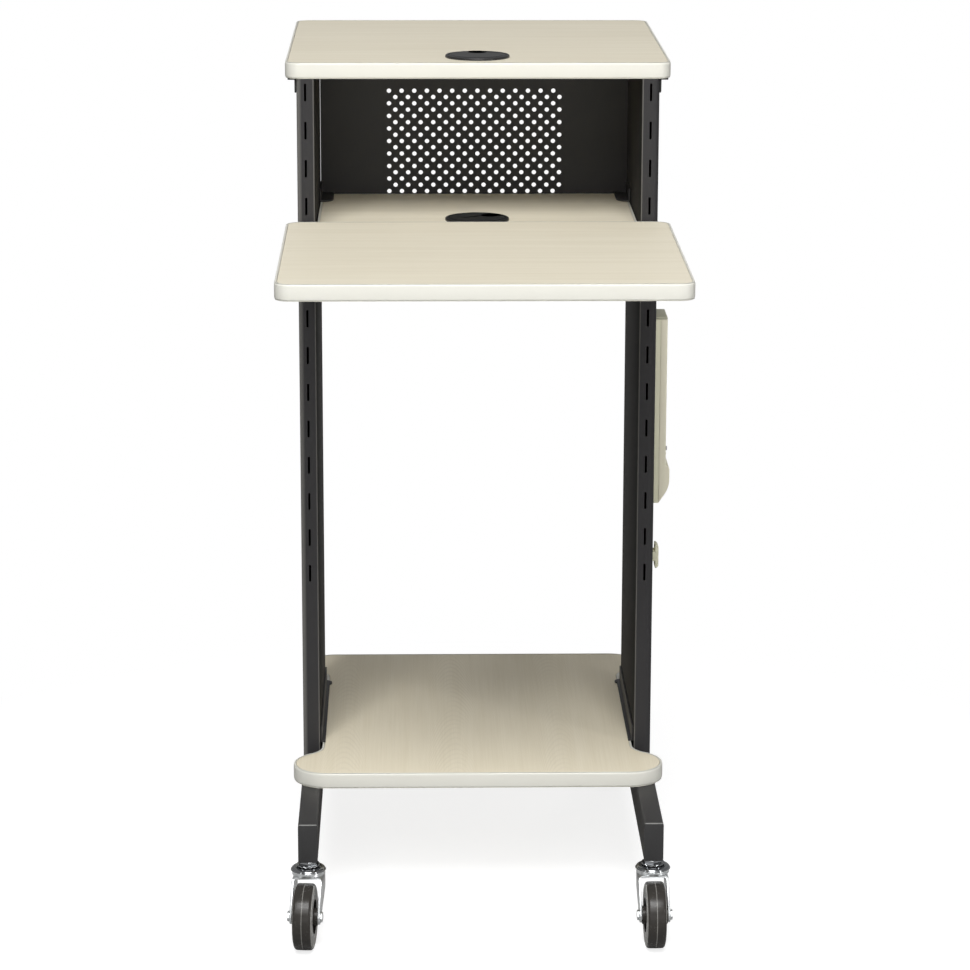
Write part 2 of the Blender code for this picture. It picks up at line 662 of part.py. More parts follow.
def make_top_angle(name, side, frame):
    """An angle outside the side panel, under the top shelf."""
    half_length = TOP_ANGLE_LENGTH / 2
    inner_x = PANEL_OUTER_X + CONTACT_GAP
    radius = TOP_ANGLE_CORNER_RADIUS
    steps = SMALL_CORNER_STEPS
    bottom = PANEL_TOP - TOP_ANGLE_HEIGHT
    leg = [(half_length, PANEL_TOP), (-half_length, PANEL_TOP)]
    leg += arc((radius - half_length, bottom + radius), radius, 180, 270, steps)
    leg += arc((half_length - radius, bottom + radius), radius, 270, 360, steps)
    low, high = sorted((side * inner_x, side * (inner_x + ANGLE_SHEET)))
    angle = prism(name, leg, low, high, along_x)
    plan = rectangle(inner_x, inner_x + TOP_ANGLE_WIDTH, -half_length, half_length)
    shelf_leg = prism("shelf_leg", mirrored(plan, side), PANEL_TOP - ANGLE_SHEET, PANEL_TOP, along_z)
    combine(angle, shelf_leg, "UNION")
    settle(angle, "black_powder_coat", frame)


def make_middle_rail(name, side, frame):
    """An angle on the side panel's inner face, which the middle shelf rests on."""
    wall_x = PANEL_INNER_X - CONTACT_GAP
    top = MIDDLE_SHELF_TOP - SHELF_THICKNESS - CONTACT_GAP
    outline = [
        (wall_x, top),
        (wall_x, top - RAIL_HEIGHT),
        (wall_x - ANGLE_SHEET, top - RAIL_HEIGHT),
        (wall_x - ANGLE_SHEET, top - ANGLE_SHEET),
        (wall_x - RAIL_WIDTH, top - ANGLE_SHEET),
        (wall_x - RAIL_WIDTH, top),
    ]
    rail = prism(name, mirrored(outline, side), -RAIL_LENGTH / 2, RAIL_LENGTH / 2, along_y)
    settle(rail, "black_powder_coat", frame)


def make_middle_clip(name, side, frame):
    """A clip on top of the middle shelf's rear corner, which ties it to the side panel."""
    wall_x = PANEL_INNER_X - CONTACT_GAP
    bottom = MIDDLE_SHELF_TOP + CONTACT_GAP
    rear = MIDDLE_SHELF_REAR_Y
    front = rear - CLIP_LENGTH
    corner = (wall_x - CLIP_WIDTH + CLIP_CORNER_RADIUS, front + CLIP_CORNER_RADIUS)
    plan = [(wall_x, front), (wall_x, rear), (wall_x - CLIP_WIDTH, rear)]
    plan += arc(corner, CLIP_CORNER_RADIUS, 180, 270, CORNER_STEPS)
    foot = prism(name, mirrored(plan, side), bottom, bottom + ANGLE_SHEET, along_z)
    low, high = sorted((side * wall_x, side * (wall_x - ANGLE_SHEET)))
    leg = prism("leg", rectangle(front, rear, bottom, bottom + CLIP_HEIGHT), low, high, along_x)
    combine(foot, leg, "UNION")
    settle(foot, "black_powder_coat", frame)


def make_lower_angle(name, side, frame):
    """An angle along the side panel's foot, screwed to the lower shelf, with a round rear tab."""
    wall_x = PANEL_INNER_X - CONTACT_GAP
    bottom = LOWER_SHELF_TOP + CONTACT_GAP
    front = PANEL_FRONT_Y + LOWER_ANGLE_FRONT_INSET
    rear = PANEL_DEPTH / 2 - LOWER_ANGLE_REAR_INSET
    tab_y = rear - LOWER_ANGLE_TAB_RADIUS
    tab_start_deg = math.degrees(math.acos(-LOWER_ANGLE_WIDTH / LOWER_ANGLE_TAB_RADIUS))
    plan = [(wall_x, front), (wall_x, rear)]
    plan += arc((wall_x, tab_y), LOWER_ANGLE_TAB_RADIUS, 90, 360 - tab_start_deg, 2 * CORNER_STEPS)[1:]
    plan += [(wall_x - LOWER_ANGLE_WIDTH, front)]
    angle = prism(name, mirrored(plan, side), bottom, bottom + ANGLE_SHEET, along_z)
    low, high = sorted((side * wall_x, side * (wall_x - ANGLE_SHEET)))
    face = rectangle(front, rear, bottom, bottom + LOWER_ANGLE_HEIGHT)
    combine(angle, prism("leg", face, low, high, along_x), "UNION")
    settle(angle, "black_powder_coat", frame, smooth=True)


def make_keyboard_bracket(name, side, slide):
    """A cantilever plate whose hooks pass through two slots of the side panel."""
    back = PANEL_FRONT_Y - CONTACT_GAP
    neck_end = PANEL_FRONT_Y + PANEL_WALL + CONTACT_GAP
    hook_end = neck_end + HOOK_THICKNESS
    outline = [
        (back, BRACKET_TOP),
        (back - BRACKET_LENGTH, BRACKET_TOP),
        (back - BRACKET_LENGTH, BRACKET_TOP - BRACKET_NOSE_HEIGHT),
        (back - BRACKET_HEEL_LENGTH, BRACKET_TOP - BRACKET_HEIGHT),
        (back, BRACKET_TOP - BRACKET_HEIGHT),
    ]
    for hook in reversed(range(BRACKET_HOOKS)):
        slot_middle = FIRST_SLOT_HEIGHT - (BRACKET_SLOT + hook) * SLOT_PITCH
        neck_low = slot_middle - SLOT_LENGTH / 2 + CONTACT_GAP
        neck_high = neck_low + HOOK_NECK
        outline += [(back, neck_low), (neck_end, neck_low), (neck_end, neck_low - HOOK_DROP)]
        outline += [(hook_end, neck_low - HOOK_DROP), (hook_end, neck_high), (back, neck_high)]
    x = side * PANEL_MIDDLE_X
    half_sheet = BRACKET_SHEET / 2
    bracket = prism(name, outline, x - half_sheet, x + half_sheet, along_x)
    flange = rectangle(
        PANEL_MIDDLE_X - BRACKET_FLANGE,
        PANEL_MIDDLE_X + half_sheet,
        back - BRACKET_LENGTH,
        back - BRACKET_HEEL_LENGTH,
    )
    low = BRACKET_TOP - BRACKET_SHEET
    combine(bracket, prism("flange", mirrored(flange, side), low, BRACKET_TOP, along_z), "UNION")
    settle(bracket, "black_powder_coat", slide)


def make_stem():
    """The fixed part of a caster: stud, nut, upper race and the kingpin with its riveted head."""
    head_top = FORK_CROWN_BOTTOM - CONTACT_GAP
    profile = [
        (0, head_top - KINGPIN_HEAD_HEIGHT),
        (KINGPIN_HEAD_RADIUS, head_top - KINGPIN_HEAD_HEIGHT),
        (KINGPIN_HEAD_RADIUS, head_top),
        (KINGPIN_RADIUS, head_top),
        (KINGPIN_RADIUS, RACE_CAP_BOTTOM),
        (RACE_CAP_RADIUS - RACE_CAP_ROUND, RACE_CAP_BOTTOM),
        (RACE_CAP_RADIUS, RACE_CAP_BOTTOM + RACE_CAP_ROUND),
        (RACE_CAP_RADIUS - RACE_CAP_ROUND, RACE_CAP_TOP),
        (STUD_RADIUS, RACE_CAP_TOP),
        (STUD_RADIUS, STEM_NUT_TOP + STUD_LENGTH - STUD_TIP),
        (STUD_RADIUS - STUD_TIP, STEM_NUT_TOP + STUD_LENGTH),
        (0, STEM_NUT_TOP + STUD_LENGTH),
    ]
    stem = turned("stem", profile, ROUND_SEGMENTS)
    nut = prism(
        "nut",
        circle((0, 0), STEM_NUT_RADIUS, HEXAGON),
        (RACE_CAP_BOTTOM + RACE_CAP_TOP) / 2,
        STEM_NUT_TOP,
        along_z,
    )
    return combine(stem, nut, "UNION")


def cheek_half_width():
    return WHEEL_HUB_WIDTH / 2 + FORK_HUB_CLEARANCE


def make_fork(braked):
    """Bent sheet with two cheeks, a race ring on its crown and, when braked, pedal pivots."""
    inner = cheek_half_width()
    outer = inner + FORK_SHEET
    radius = FORK_CROWN_RADIUS
    steps = SMALL_CORNER_STEPS
    low = AXLE_HEIGHT - FORK_EAR_RADIUS - CUT_OVERRUN
    inside_radius = radius - FORK_SHEET
    arch = [(outer, low)]
    arch += arc((outer - radius, FORK_CROWN_TOP - radius), radius, 0, 90, steps)
    arch += arc((radius - outer, FORK_CROWN_TOP - radius), radius, 90, 180, steps)
    arch += [(-outer, low), (-inner, low)]
    inner_y = FORK_CROWN_BOTTOM - inside_radius
    arch += arc((inside_radius - inner, inner_y), inside_radius, 180, 90, steps)
    arch += arc((inner - inside_radius, inner_y), inside_radius, 90, 0, steps)
    arch += [(inner, low)]
    reach = CASTER_TRAIL + FORK_DEPTH
    fork = prism("fork", arch, -reach, reach, along_y)

    half_depth = FORK_DEPTH / 2
    side_view = [(half_depth, FORK_CROWN_TOP + CUT_OVERRUN)]
    side_view += [(-half_depth, FORK_CROWN_TOP + CUT_OVERRUN), (-half_depth, FORK_CROWN_BOTTOM)]
    side_view += arc((-CASTER_TRAIL, AXLE_HEIGHT), FORK_EAR_RADIUS, *FORK_EAR_ARC_DEG, 2 * steps)
    side_view += [(half_depth, FORK_CROWN_TOP - FORK_REAR_EDGE)]
    span = outer + CUT_OVERRUN
    combine(fork, prism("side_view", side_view, -span, span, along_x), "INTERSECT")

    ring = circle((0, 0), RACE_RING_RADIUS, ROUND_SEGMENTS)
    ring_low = FORK_CROWN_TOP - RACE_RING_SINK
    combine(fork, prism("ring", ring, ring_low, RACE_RING_TOP, along_z), "UNION")
    pin_hole = around(KINGPIN_RADIUS + RUNNING_CLEARANCE, ROUND_SEGMENTS)
    hole = circle((0, 0), pin_hole, ROUND_SEGMENTS)
    hole_low = FORK_CROWN_BOTTOM - CUT_OVERRUN
    hole_high = RACE_RING_TOP + CUT_OVERRUN
    combine(fork, prism("pin_hole", hole, hole_low, hole_high, along_z), "DIFFERENCE")
    axle_hole = around(AXLE_RADIUS + RUNNING_CLEARANCE, SMALL_ROUND_SEGMENTS)
    hole = circle((-CASTER_TRAIL, AXLE_HEIGHT), axle_hole, SMALL_ROUND_SEGMENTS)
    combine(fork, prism("axle_hole", hole, -span, span, along_x), "DIFFERENCE")
    if braked:
        stub = circle(pedal_pivot(), PEDAL_PIVOT_RADIUS, SMALL_ROUND_SEGMENTS)
        stub_start = inner + FORK_SHEET / 2
        stub_end = outer + PEDAL_SIDE_CLEARANCE + PEDAL_SHEET
        combine(fork, prism("stub", stub, stub_start, stub_end, along_x), "UNION")
        combine(fork, prism("stub", stub, -stub_end, -stub_start, along_x), "UNION")
    return fork


def make_wheel():
    """A hard wheel, recessed between its rim and its hub on both sides."""
    half_tread = WHEEL_TREAD_WIDTH / 2
    floor = half_tread - WHEEL_RECESS_DEPTH
    bore = around(AXLE_RADIUS + RUNNING_CLEARANCE, ROUND_SEGMENTS)
    right = [
        (bore, WHEEL_HUB_WIDTH / 2),
        (WHEEL_HUB_RADIUS, WHEEL_HUB_WIDTH / 2),
        (WHEEL_HUB_RADIUS, floor),
        (WHEEL_RIM_RADIUS, floor),
        (WHEEL_RIM_RADIUS + WHEEL_RIM_SLOPE, half_tread),
        (WHEEL_RADIUS - WHEEL_SHOULDER, half_tread),
        (WHEEL_RADIUS, half_tread - WHEEL_SHOULDER),
    ]
    left = [(radius, -x) for radius, x in reversed(right)]
    return turned("wheel", right + left, ROUND_SEGMENTS, closed=True, across=True)


def make_axle():
    """A bolt through the fork's cheeks and the wheel, with its hexagon head and nut."""
    cheek = cheek_half_width() + FORK_SHEET + CONTACT_GAP
    end = cheek + AXLE_HEAD_THICKNESS
    shaft = circle((0, 0), AXLE_RADIUS, SMALL_ROUND_SEGMENTS)
    axle = prism("axle", shaft, -cheek - CONTACT_GAP, cheek + CONTACT_GAP, along_x)
    head = circle((0, 0), AXLE_HEAD_RADIUS, HEXAGON)
    combine(axle, prism("head", head, cheek, end, along_x), "UNION")
    combine(axle, prism("nut", head, -end, -cheek, along_x), "UNION")
    return axle


def pedal_pivot():
    """The pedal's pivot on the fork, as its place along the cart and its height."""
    return (-PEDAL_PIVOT_FORWARD, FORK_CROWN_BOTTOM - PEDAL_PIVOT_DROP)


def make_pedal():
    """A bent pedal whose sloping roof comes down on the tread, drawn round its pivot."""
    slope = math.radians(PEDAL_SLOPE_DEG)
    forward = Vector((-math.cos(slope), -math.sin(slope)))
    upward = Vector((-math.sin(slope), math.cos(slope)))
    wheel_middle = Vector((-CASTER_TRAIL, AXLE_HEIGHT)) - Vector(pedal_pivot())
    nearest = wheel_middle + upward * (WHEEL_RADIUS + PEDAL_TREAD_CLEARANCE)
    roof_back = nearest - forward * PEDAL_ROOF_BACK
    roof_front = nearest + forward * PEDAL_ROOF_FRONT
    arm_front = nearest + forward * PEDAL_ARM_FRONT
    lift = upward * PEDAL_SHEET
    inner = cheek_half_width() + FORK_SHEET + PEDAL_SIDE_CLEARANCE
    outer = inner + PEDAL_SHEET
    half_roof = outer + PEDAL_ROOF_OVERHANG
    corners = [roof_back, roof_back + lift, roof_front + lift, roof_front]
    roof = [tuple(corner) for corner in corners]
    pedal = prism("pedal", roof, -half_roof, half_roof, along_x)
    arm = [tuple(roof_back + lift / 2), tuple(arm_front + lift / 2)]
    arm += arc((0, 0), PEDAL_EYE_RADIUS, *PEDAL_EYE_ARC_DEG, 2 * SMALL_CORNER_STEPS)
    combine(pedal, prism("arm", arm, inner, outer, along_x), "UNION")
    combine(pedal, prism("arm", arm, -outer, -inner, along_x), "UNION")
    eye = around(PEDAL_PIVOT_RADIUS + RUNNING_CLEARANCE, SMALL_ROUND_SEGMENTS)
    hole = circle((0, 0), eye, SMALL_ROUND_SEGMENTS)
    span = outer + CUT_OVERRUN
    combine(pedal, prism("eye", hole, -span, span, along_x), "DIFFERENCE")
    return pedal


def copy_of(name, pattern):
    """A new object that shares the pattern's mesh."""
    piece = bpy.data.objects.new(name, pattern.data)
    bpy.context.collection.objects.link(piece)
    return piece


def make_casters(frame):
    """Four swivel casters, each a stem, a fork, a wheel and its axle; the rear two have brakes."""
    patterns = {
        "stem": make_stem(),
        "plain_fork": make_fork(braked=False),
        "braked_fork": make_fork(braked=True),
        "wheel": make_wheel(),
        "axle": make_axle(),
        "pedal": make_pedal(),
    }
    for place, yaw_deg in CASTER_YAWS_DEG.items():
        x = FOOT_X if place.endswith("right") else -FOOT_X
        braked = place.startswith("rear")
        y = CASTER_Y["rear" if braked else "front"]
        prefix = place + "_caster_"
        stem = copy_of(prefix + "stem", patterns["stem"])
        settle(stem, "chrome", frame, (x, y, 0), smooth=True)
        swivel = empty(prefix + "swivel_axis", frame, (x, y, 0), math.radians(yaw_deg))
        fork = copy_of(prefix + "fork", patterns["braked_fork" if braked else "plain_fork"])
        settle(fork, "bright_zinc", swivel, smooth=True)
        spindle = empty(prefix + "wheel_axis", swivel, (0, -CASTER_TRAIL, AXLE_HEIGHT))
        settle(copy_of(prefix + "wheel", patterns["wheel"]), "hard_black_rubber", spindle, smooth=True)
        settle(copy_of(prefix + "axle", patterns["axle"]), "bright_zinc", spindle)
        if braked:
            hinge = empty(prefix + "pedal_axis", swivel, (0, *pedal_pivot()))
            settle(copy_of(prefix + "pedal", patterns["pedal"]), "bright_zinc", hinge)
    for pattern in patterns.values():
        bpy.data.objects.remove(pattern, do_unlink=True)


def outlet_heights():
    """The middle of each outlet, measured up from the bottom of the power strip."""
    first = COVER_TOP - FIRST_OUTLET_DROP
    return [first - outlet * OUTLET_PITCH for outlet in range(OUTLET_COUNT)]


def cover_side_view(wall, back):
    """The cover's outline from the side, moved in by the wall; the control end is deeper."""
    radius = CONTROL_DEPTH - STRIP_COVER_DEPTH
    centre = (STRIP_COVER_DEPTH, CONTROL_LENGTH - radius)
    outline = [(back, COVER_TOP - wall), (STRIP_COVER_DEPTH - wall, COVER_TOP - wall)]
    if wall:
        outline += [(STRIP_COVER_DEPTH - wall, CONTROL_LENGTH - wall)]
    outline += arc(centre, radius - wall, 90, 0, CORNER_STEPS)
    outline += [(CONTROL_DEPTH - wall, CONTROL_TAPER), (COVER_BACK_DEPTH - wall, wall), (back, wall)]
    return outline


def make_strip_cover(strip):
    """The beige front shell, with the outlets' slots and openings for the rocker and button."""
    half_width = STRIP_WIDTH / 2
    inner_half = half_width - STRIP_WALL
    outside = cover_side_view(0, COVER_BACK_DEPTH)[:-1]
    cover = prism("power_strip_cover", outside, -half_width, half_width, along_y)
    inside = cover_side_view(STRIP_WALL, COVER_BACK_DEPTH - 2 * STRIP_WALL)
    combine(cover, prism("inside", inside, -inner_half, inner_half, along_y), "DIFFERENCE")
    low = STRIP_COVER_DEPTH - STRIP_WALL - CUT_OVERRUN
    high = STRIP_COVER_DEPTH + CUT_OVERRUN
    half_slot = BLADE_SLOT_WIDTH / 2
    half_length = BLADE_SLOT_LENGTH / 2
    for height in outlet_heights():
        for side in (-1, 1):
            y = side * BLADE_SPACING / 2
            slot = rectangle(y - half_slot, y + half_slot, height - half_length, height + half_length)
            combine(cover, prism("blade_slot", slot, low, high, along_x), "DIFFERENCE")
        ground = circle((0, height - GROUND_HOLE_DROP), GROUND_HOLE_RADIUS, SMALL_ROUND_SEGMENTS)
        combine(cover, prism("ground_hole", ground, low, high, along_x), "DIFFERENCE")
    half_mouth = ROCKER_WIDTH / 2 + ROCKER_CLEARANCE
    mouth = rectangle(
        -half_mouth, half_mouth, ROCKER_RISE - ROCKER_REACH, ROCKER_RISE + ROCKER_REACH
    )
    combine(cover, prism("mouth", mouth, low, high, along_x), "DIFFERENCE")
    hole_radius = around(BUTTON_HOLE_RADIUS, SMALL_ROUND_SEGMENTS)
    hole = circle((0, BUTTON_RISE), hole_radius, SMALL_ROUND_SEGMENTS)
    combine(cover, prism("button_hole", hole, low, high, along_x), "DIFFERENCE")
    settle(cover, "beige_plastic", strip)


def make_strip_base(strip):
    """The tray on the side panel, with a hole for the cord's gland."""
    half_width = STRIP_WIDTH / 2
    tray = prism(
        "power_strip_base", rectangle(0, STRIP_BASE_DEPTH, 0, COVER_TOP), -half_width, half_width, along_y
    )
    inside = rectangle(
        STRIP_WALL, STRIP_BASE_DEPTH + CUT_OVERRUN, STRIP_WALL, COVER_TOP - STRIP_WALL
    )
    inner_half = half_width - STRIP_WALL
    combine(tray, prism("inside", inside, -inner_half, inner_half, along_y), "DIFFERENCE")
    hole_radius = around(GLAND_NECK_RADIUS + CONTACT_GAP, SMALL_ROUND_SEGMENTS)
    hole = circle((STRIP_BASE_DEPTH / 2, GLAND_RISE), hole_radius, SMALL_ROUND_SEGMENTS)
    low = inner_half - CUT_OVERRUN
    combine(tray, prism("gland_hole", hole, low, half_width + CUT_OVERRUN, along_y), "DIFFERENCE")
    settle(tray, "beige_plastic", strip)


def make_gland(strip):
    """The sleeve in the tray's side wall that the cord would leave through."""
    profile = [
        (GLAND_BORE_RADIUS, -STRIP_WALL - GLAND_NECK_END),
        (GLAND_NECK_RADIUS, -STRIP_WALL - GLAND_NECK_END),
        (GLAND_NECK_RADIUS, CONTACT_GAP),
        (GLAND_RADIUS, CONTACT_GAP),
        (GLAND_RADIUS, GLAND_FLANGE),
        (GLAND_TIP_RADIUS, GLAND_LENGTH),
        (GLAND_BORE_RADIUS, GLAND_LENGTH),
    ]
    gland = turned("cord_gland", profile, SMALL_ROUND_SEGMENTS, closed=True)
    settle(gland, "grey_plastic", strip, (STRIP_BASE_DEPTH / 2, STRIP_WIDTH / 2, GLAND_RISE), smooth=True)
    gland.rotation_euler = (-math.pi / 2, 0, 0)


def make_rocker(strip):
    """The power switch, whose round ends keep their clearance as it tips."""
    end_deg = ROCKER_END_ANGLE_DEG
    outline = arc((0, 0), ROCKER_RADIUS, 90 - end_deg, 90 + end_deg, SMALL_CORNER_STEPS)
    outline += arc((0, 0), ROCKER_RADIUS, 270 - end_deg, 270 + end_deg, SMALL_CORNER_STEPS)
    outline += [(ROCKER_WAIST, 0)]
    rocker = prism("rocker_switch", outline, -ROCKER_WIDTH / 2, ROCKER_WIDTH / 2, along_y)
    pivot = empty("rocker_axis", strip, (ROCKER_PIVOT_DEPTH, 0, ROCKER_RISE))
    settle(rocker, "grey_plastic", pivot)
    rocker.rotation_euler = (0, math.radians(ROCKER_REST_TILT_DEG), 0)


def make_reset_button(strip):
    """The breaker's button, kept in the cover by a flange behind the wall."""
    flange_front = -BUTTON_PROUD - STRIP_WALL - CONTACT_GAP
    flange_back = flange_front - BUTTON_FLANGE_THICKNESS
    flange_radius = BUTTON_RADIUS + BUTTON_LIP
    profile = [
        (0, flange_back - BUTTON_STEM_LENGTH),
        (BUTTON_RADIUS, flange_back - BUTTON_STEM_LENGTH),
        (BUTTON_RADIUS, flange_back),
        (flange_radius, flange_back),
        (flange_radius, flange_front),
        (BUTTON_RADIUS, flange_front),
        (BUTTON_RADIUS, 0),
        (0, 0),
    ]
    button = turned("reset_button", profile, SMALL_ROUND_SEGMENTS)
    place = (STRIP_COVER_DEPTH + BUTTON_PROUD, 0, BUTTON_RISE)
    settle(button, "black_plastic", strip, place, smooth=True)
    button.rotation_euler = (0, math.pi / 2, 0)


def make_strip_cap(strip):
    """The grey end piece on top of the tray and the cover."""
    radius = STRIP_CAP_ROUND
    low = COVER_TOP + CONTACT_GAP
    outline = [(0, low), (STRIP_COVER_DEPTH, low)]
    centre = (STRIP_COVER_DEPTH - radius, STRIP_LENGTH - radius)
    outline += arc(centre, radius, 0, 90, SMALL_CORNER_STEPS)
    outline += [(0, STRIP_LENGTH)]
    cap = prism("power_strip_end_cap", outline, -STRIP_WIDTH / 2, STRIP_WIDTH / 2, along_y)
    settle(cap, "grey_plastic", strip)


def make_cleat(frame):
    """A two-horned cleat for winding up the cord."""
    half_base = CLEAT_BASE_LENGTH / 2
    half_stem = CLEAT_STEM_LENGTH / 2
    half_horn = CLEAT_HORN_LENGTH / 2
    under_horn = CLEAT_BASE_THICKNESS + CLEAT_GAP
    out = under_horn + CLEAT_HORN_THICKNESS
    upper = [
        (CLEAT_BASE_THICKNESS, half_base),
        (CLEAT_BASE_THICKNESS, half_stem),
        (under_horn, half_stem),
        (under_horn, half_horn),
        (out - CLEAT_HORN_BEVEL, half_horn),
        (out, half_horn - CLEAT_HORN_BEVEL),
    ]
    lower = [(x, -z) for x, z in reversed(upper)]
    outline = [(0, -half_base), (0, half_base)] + upper + lower
    cleat = prism("cord_cleat", outline, -CLEAT_WIDTH / 2, CLEAT_WIDTH / 2, along_y)
    settle(cleat, "beige_plastic", frame, (STRIP_BACK_X, STRIP_Y, PANEL_TOP - CLEAT_DROP))


def make_power_strip(frame):
    strip = empty("power_strip", frame, (STRIP_BACK_X, STRIP_Y, STRIP_BOTTOM))
    make_strip_base(strip)
    make_strip_cover(strip)
    make_strip_cap(strip)
    make_rocker(strip)
    make_reset_button(strip)
    make_gland(strip)


def make_shelves(frame):
    """The four shelves; the keyboard shelf hangs from the slide with its brackets."""
    top_outline = shelf_outline(
        SHELF_WIDTH / 2, TOP_SHELF_FRONT_Y, TOP_SHELF_REAR_Y, SHELF_CORNER_RADIUS
    )
    top_grommet_y = TOP_SHELF_FRONT_Y + GROMMET_SETBACK
    make_shelf("top_shelf", top_outline, TOP_SHELF_TOP, frame, top_grommet_y)
    make_grommet("top", top_grommet_y, TOP_SHELF_TOP, frame)

    middle_outline = shelf_outline(
        PANEL_INNER_X - MIDDLE_SHELF_SIDE_CLEARANCE,
        MIDDLE_SHELF_FRONT_Y,
        MIDDLE_SHELF_REAR_Y,
        MIDDLE_SHELF_CORNER_RADIUS,
    )
    middle_grommet_y = MIDDLE_SHELF_FRONT_Y + GROMMET_SETBACK
    make_shelf("middle_shelf", middle_outline, MIDDLE_SHELF_TOP, frame, middle_grommet_y)
    make_grommet("middle", middle_grommet_y, MIDDLE_SHELF_TOP, frame)

    slide = empty("keyboard_shelf_slide", frame)
    keyboard_outline = shelf_outline(
        SHELF_WIDTH / 2, KEYBOARD_SHELF_FRONT_Y, KEYBOARD_SHELF_REAR_Y, SHELF_CORNER_RADIUS
    )
    make_shelf("keyboard_shelf", keyboard_outline, KEYBOARD_SHELF_TOP, slide)
    for name, side in (("left", -1), ("right", 1)):
        make_keyboard_bracket("keyboard_bracket_" + name, side, slide)

    make_shelf("lower_shelf", lower_shelf_outline, LOWER_SHELF_TOP, frame)


def make_cart():
    middle = ((BOX_LEFT + BOX_RIGHT) / 2, (BOX_FRONT + BOX_REAR) / 2)
    frame = empty("cart_frame", None, (-middle[0], -middle[1], 0))
    make_shelves(frame)
    for name, side in (("left", -1), ("right", 1)):
        make_side_panel("side_panel_" + name, side, frame)
        make_foot("foot_tube_" + name, side, frame)
        make_top_angle("top_shelf_angle_" + name, side, frame)
        make_middle_rail("middle_shelf_rail_" + name, side, frame)
        make_middle_clip("middle_shelf_clip_" + name, side, frame)
        make_lower_angle("lower_shelf_angle_" + name, side, frame)
    make_back_panel(frame)
    make_power_strip(frame)
    make_cleat(frame)
    make_casters(frame)


clear_scene()
make_materials()
make_cart()
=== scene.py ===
# An audio visual cart: four laminate shelves on two slotted steel panels, with a power strip
# on its right side and four swivel casters under its two foot tubes. Metres, +Z up.
import json
import math

import bmesh
import bpy
from mathutils import Matrix, Vector

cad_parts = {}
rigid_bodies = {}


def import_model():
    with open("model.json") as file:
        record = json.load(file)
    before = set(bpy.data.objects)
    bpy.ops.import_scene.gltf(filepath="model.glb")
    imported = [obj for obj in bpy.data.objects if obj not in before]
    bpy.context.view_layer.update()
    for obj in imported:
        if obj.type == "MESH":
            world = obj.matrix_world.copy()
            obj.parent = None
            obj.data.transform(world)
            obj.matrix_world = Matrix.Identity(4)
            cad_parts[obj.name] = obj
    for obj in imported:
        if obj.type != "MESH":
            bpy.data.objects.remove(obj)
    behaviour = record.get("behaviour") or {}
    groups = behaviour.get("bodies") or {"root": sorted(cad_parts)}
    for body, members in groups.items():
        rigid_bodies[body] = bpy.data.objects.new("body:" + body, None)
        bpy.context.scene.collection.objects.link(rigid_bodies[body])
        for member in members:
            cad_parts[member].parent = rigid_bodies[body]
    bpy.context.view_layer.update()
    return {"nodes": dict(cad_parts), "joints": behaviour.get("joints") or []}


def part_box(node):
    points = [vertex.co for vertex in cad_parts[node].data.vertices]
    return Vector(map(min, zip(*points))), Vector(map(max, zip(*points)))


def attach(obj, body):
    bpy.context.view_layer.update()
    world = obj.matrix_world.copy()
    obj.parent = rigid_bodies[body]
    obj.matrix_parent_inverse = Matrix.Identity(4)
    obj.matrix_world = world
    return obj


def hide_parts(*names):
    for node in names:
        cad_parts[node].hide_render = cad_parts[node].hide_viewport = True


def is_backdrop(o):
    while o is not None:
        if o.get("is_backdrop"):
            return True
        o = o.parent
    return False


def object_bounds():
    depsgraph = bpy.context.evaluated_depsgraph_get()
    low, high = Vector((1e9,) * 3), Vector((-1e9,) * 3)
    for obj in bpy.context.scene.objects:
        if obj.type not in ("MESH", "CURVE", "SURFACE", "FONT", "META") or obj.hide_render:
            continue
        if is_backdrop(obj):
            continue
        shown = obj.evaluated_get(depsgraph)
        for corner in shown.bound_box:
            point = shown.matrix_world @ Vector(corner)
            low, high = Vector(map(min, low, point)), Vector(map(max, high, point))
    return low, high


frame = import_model()


# Foot tubes: rectangular steel tube with rolled corners, powder coated black, one under each
# side panel. A plain moulded plug closes each end, a painted highlight along its top edge.
SAME_PLACE = 1e-5
SMOOTH_BELOW_DEG = 32
RELIEF_STRENGTH = 0.6


def deselect():
    if bpy.context.object and bpy.context.object.mode == "EDIT":
        bpy.ops.object.mode_set(mode="OBJECT")
    bpy.ops.object.select_all(action="DESELECT")


def take(piece):
    """Makes the piece the only one selected."""
    deselect()
    piece.select_set(True)
    bpy.context.view_layer.objects.active = piece


def choose(piece, kind, test):
    """Opens the piece in edit mode with only the elements that pass the test selected."""
    take(piece)
    bpy.ops.object.mode_set(mode="EDIT")
    bpy.ops.mesh.select_mode(type=kind)
    bpy.ops.mesh.select_all(action="DESELECT")
    mesh = bmesh.from_edit_mesh(piece.data)
    mesh.normal_update()
    elements = {"VERT": mesh.verts, "EDGE": mesh.edges, "FACE": mesh.faces}[kind]
    for element in elements:
        element.select = bool(test(element))
    mesh.select_flush_mode()
    bmesh.update_edit_mesh(piece.data)


def close():
    bpy.ops.object.mode_set(mode="OBJECT")


def everything(element):
    return True


def middle(edge):
    return (edge.verts[0].co + edge.verts[1].co) / 2


def runs_along(edge, axis):
    """Whether the edge is straight along X, Y or Z, given as 0, 1 or 2."""
    direction = (edge.verts[1].co - edge.verts[0].co).normalized()
    return abs(direction[axis]) > 0.999


def lengthwise(axis):
    """A test for the edges that run along the axis."""
    return lambda edge: runs_along(edge, axis)


def bevel(piece, test, width, segments):
    """Rounds the chosen edges."""
    choose(piece, "EDGE", test)
    bpy.ops.mesh.bevel(offset=width, segments=segments, affect="EDGES")
    close()


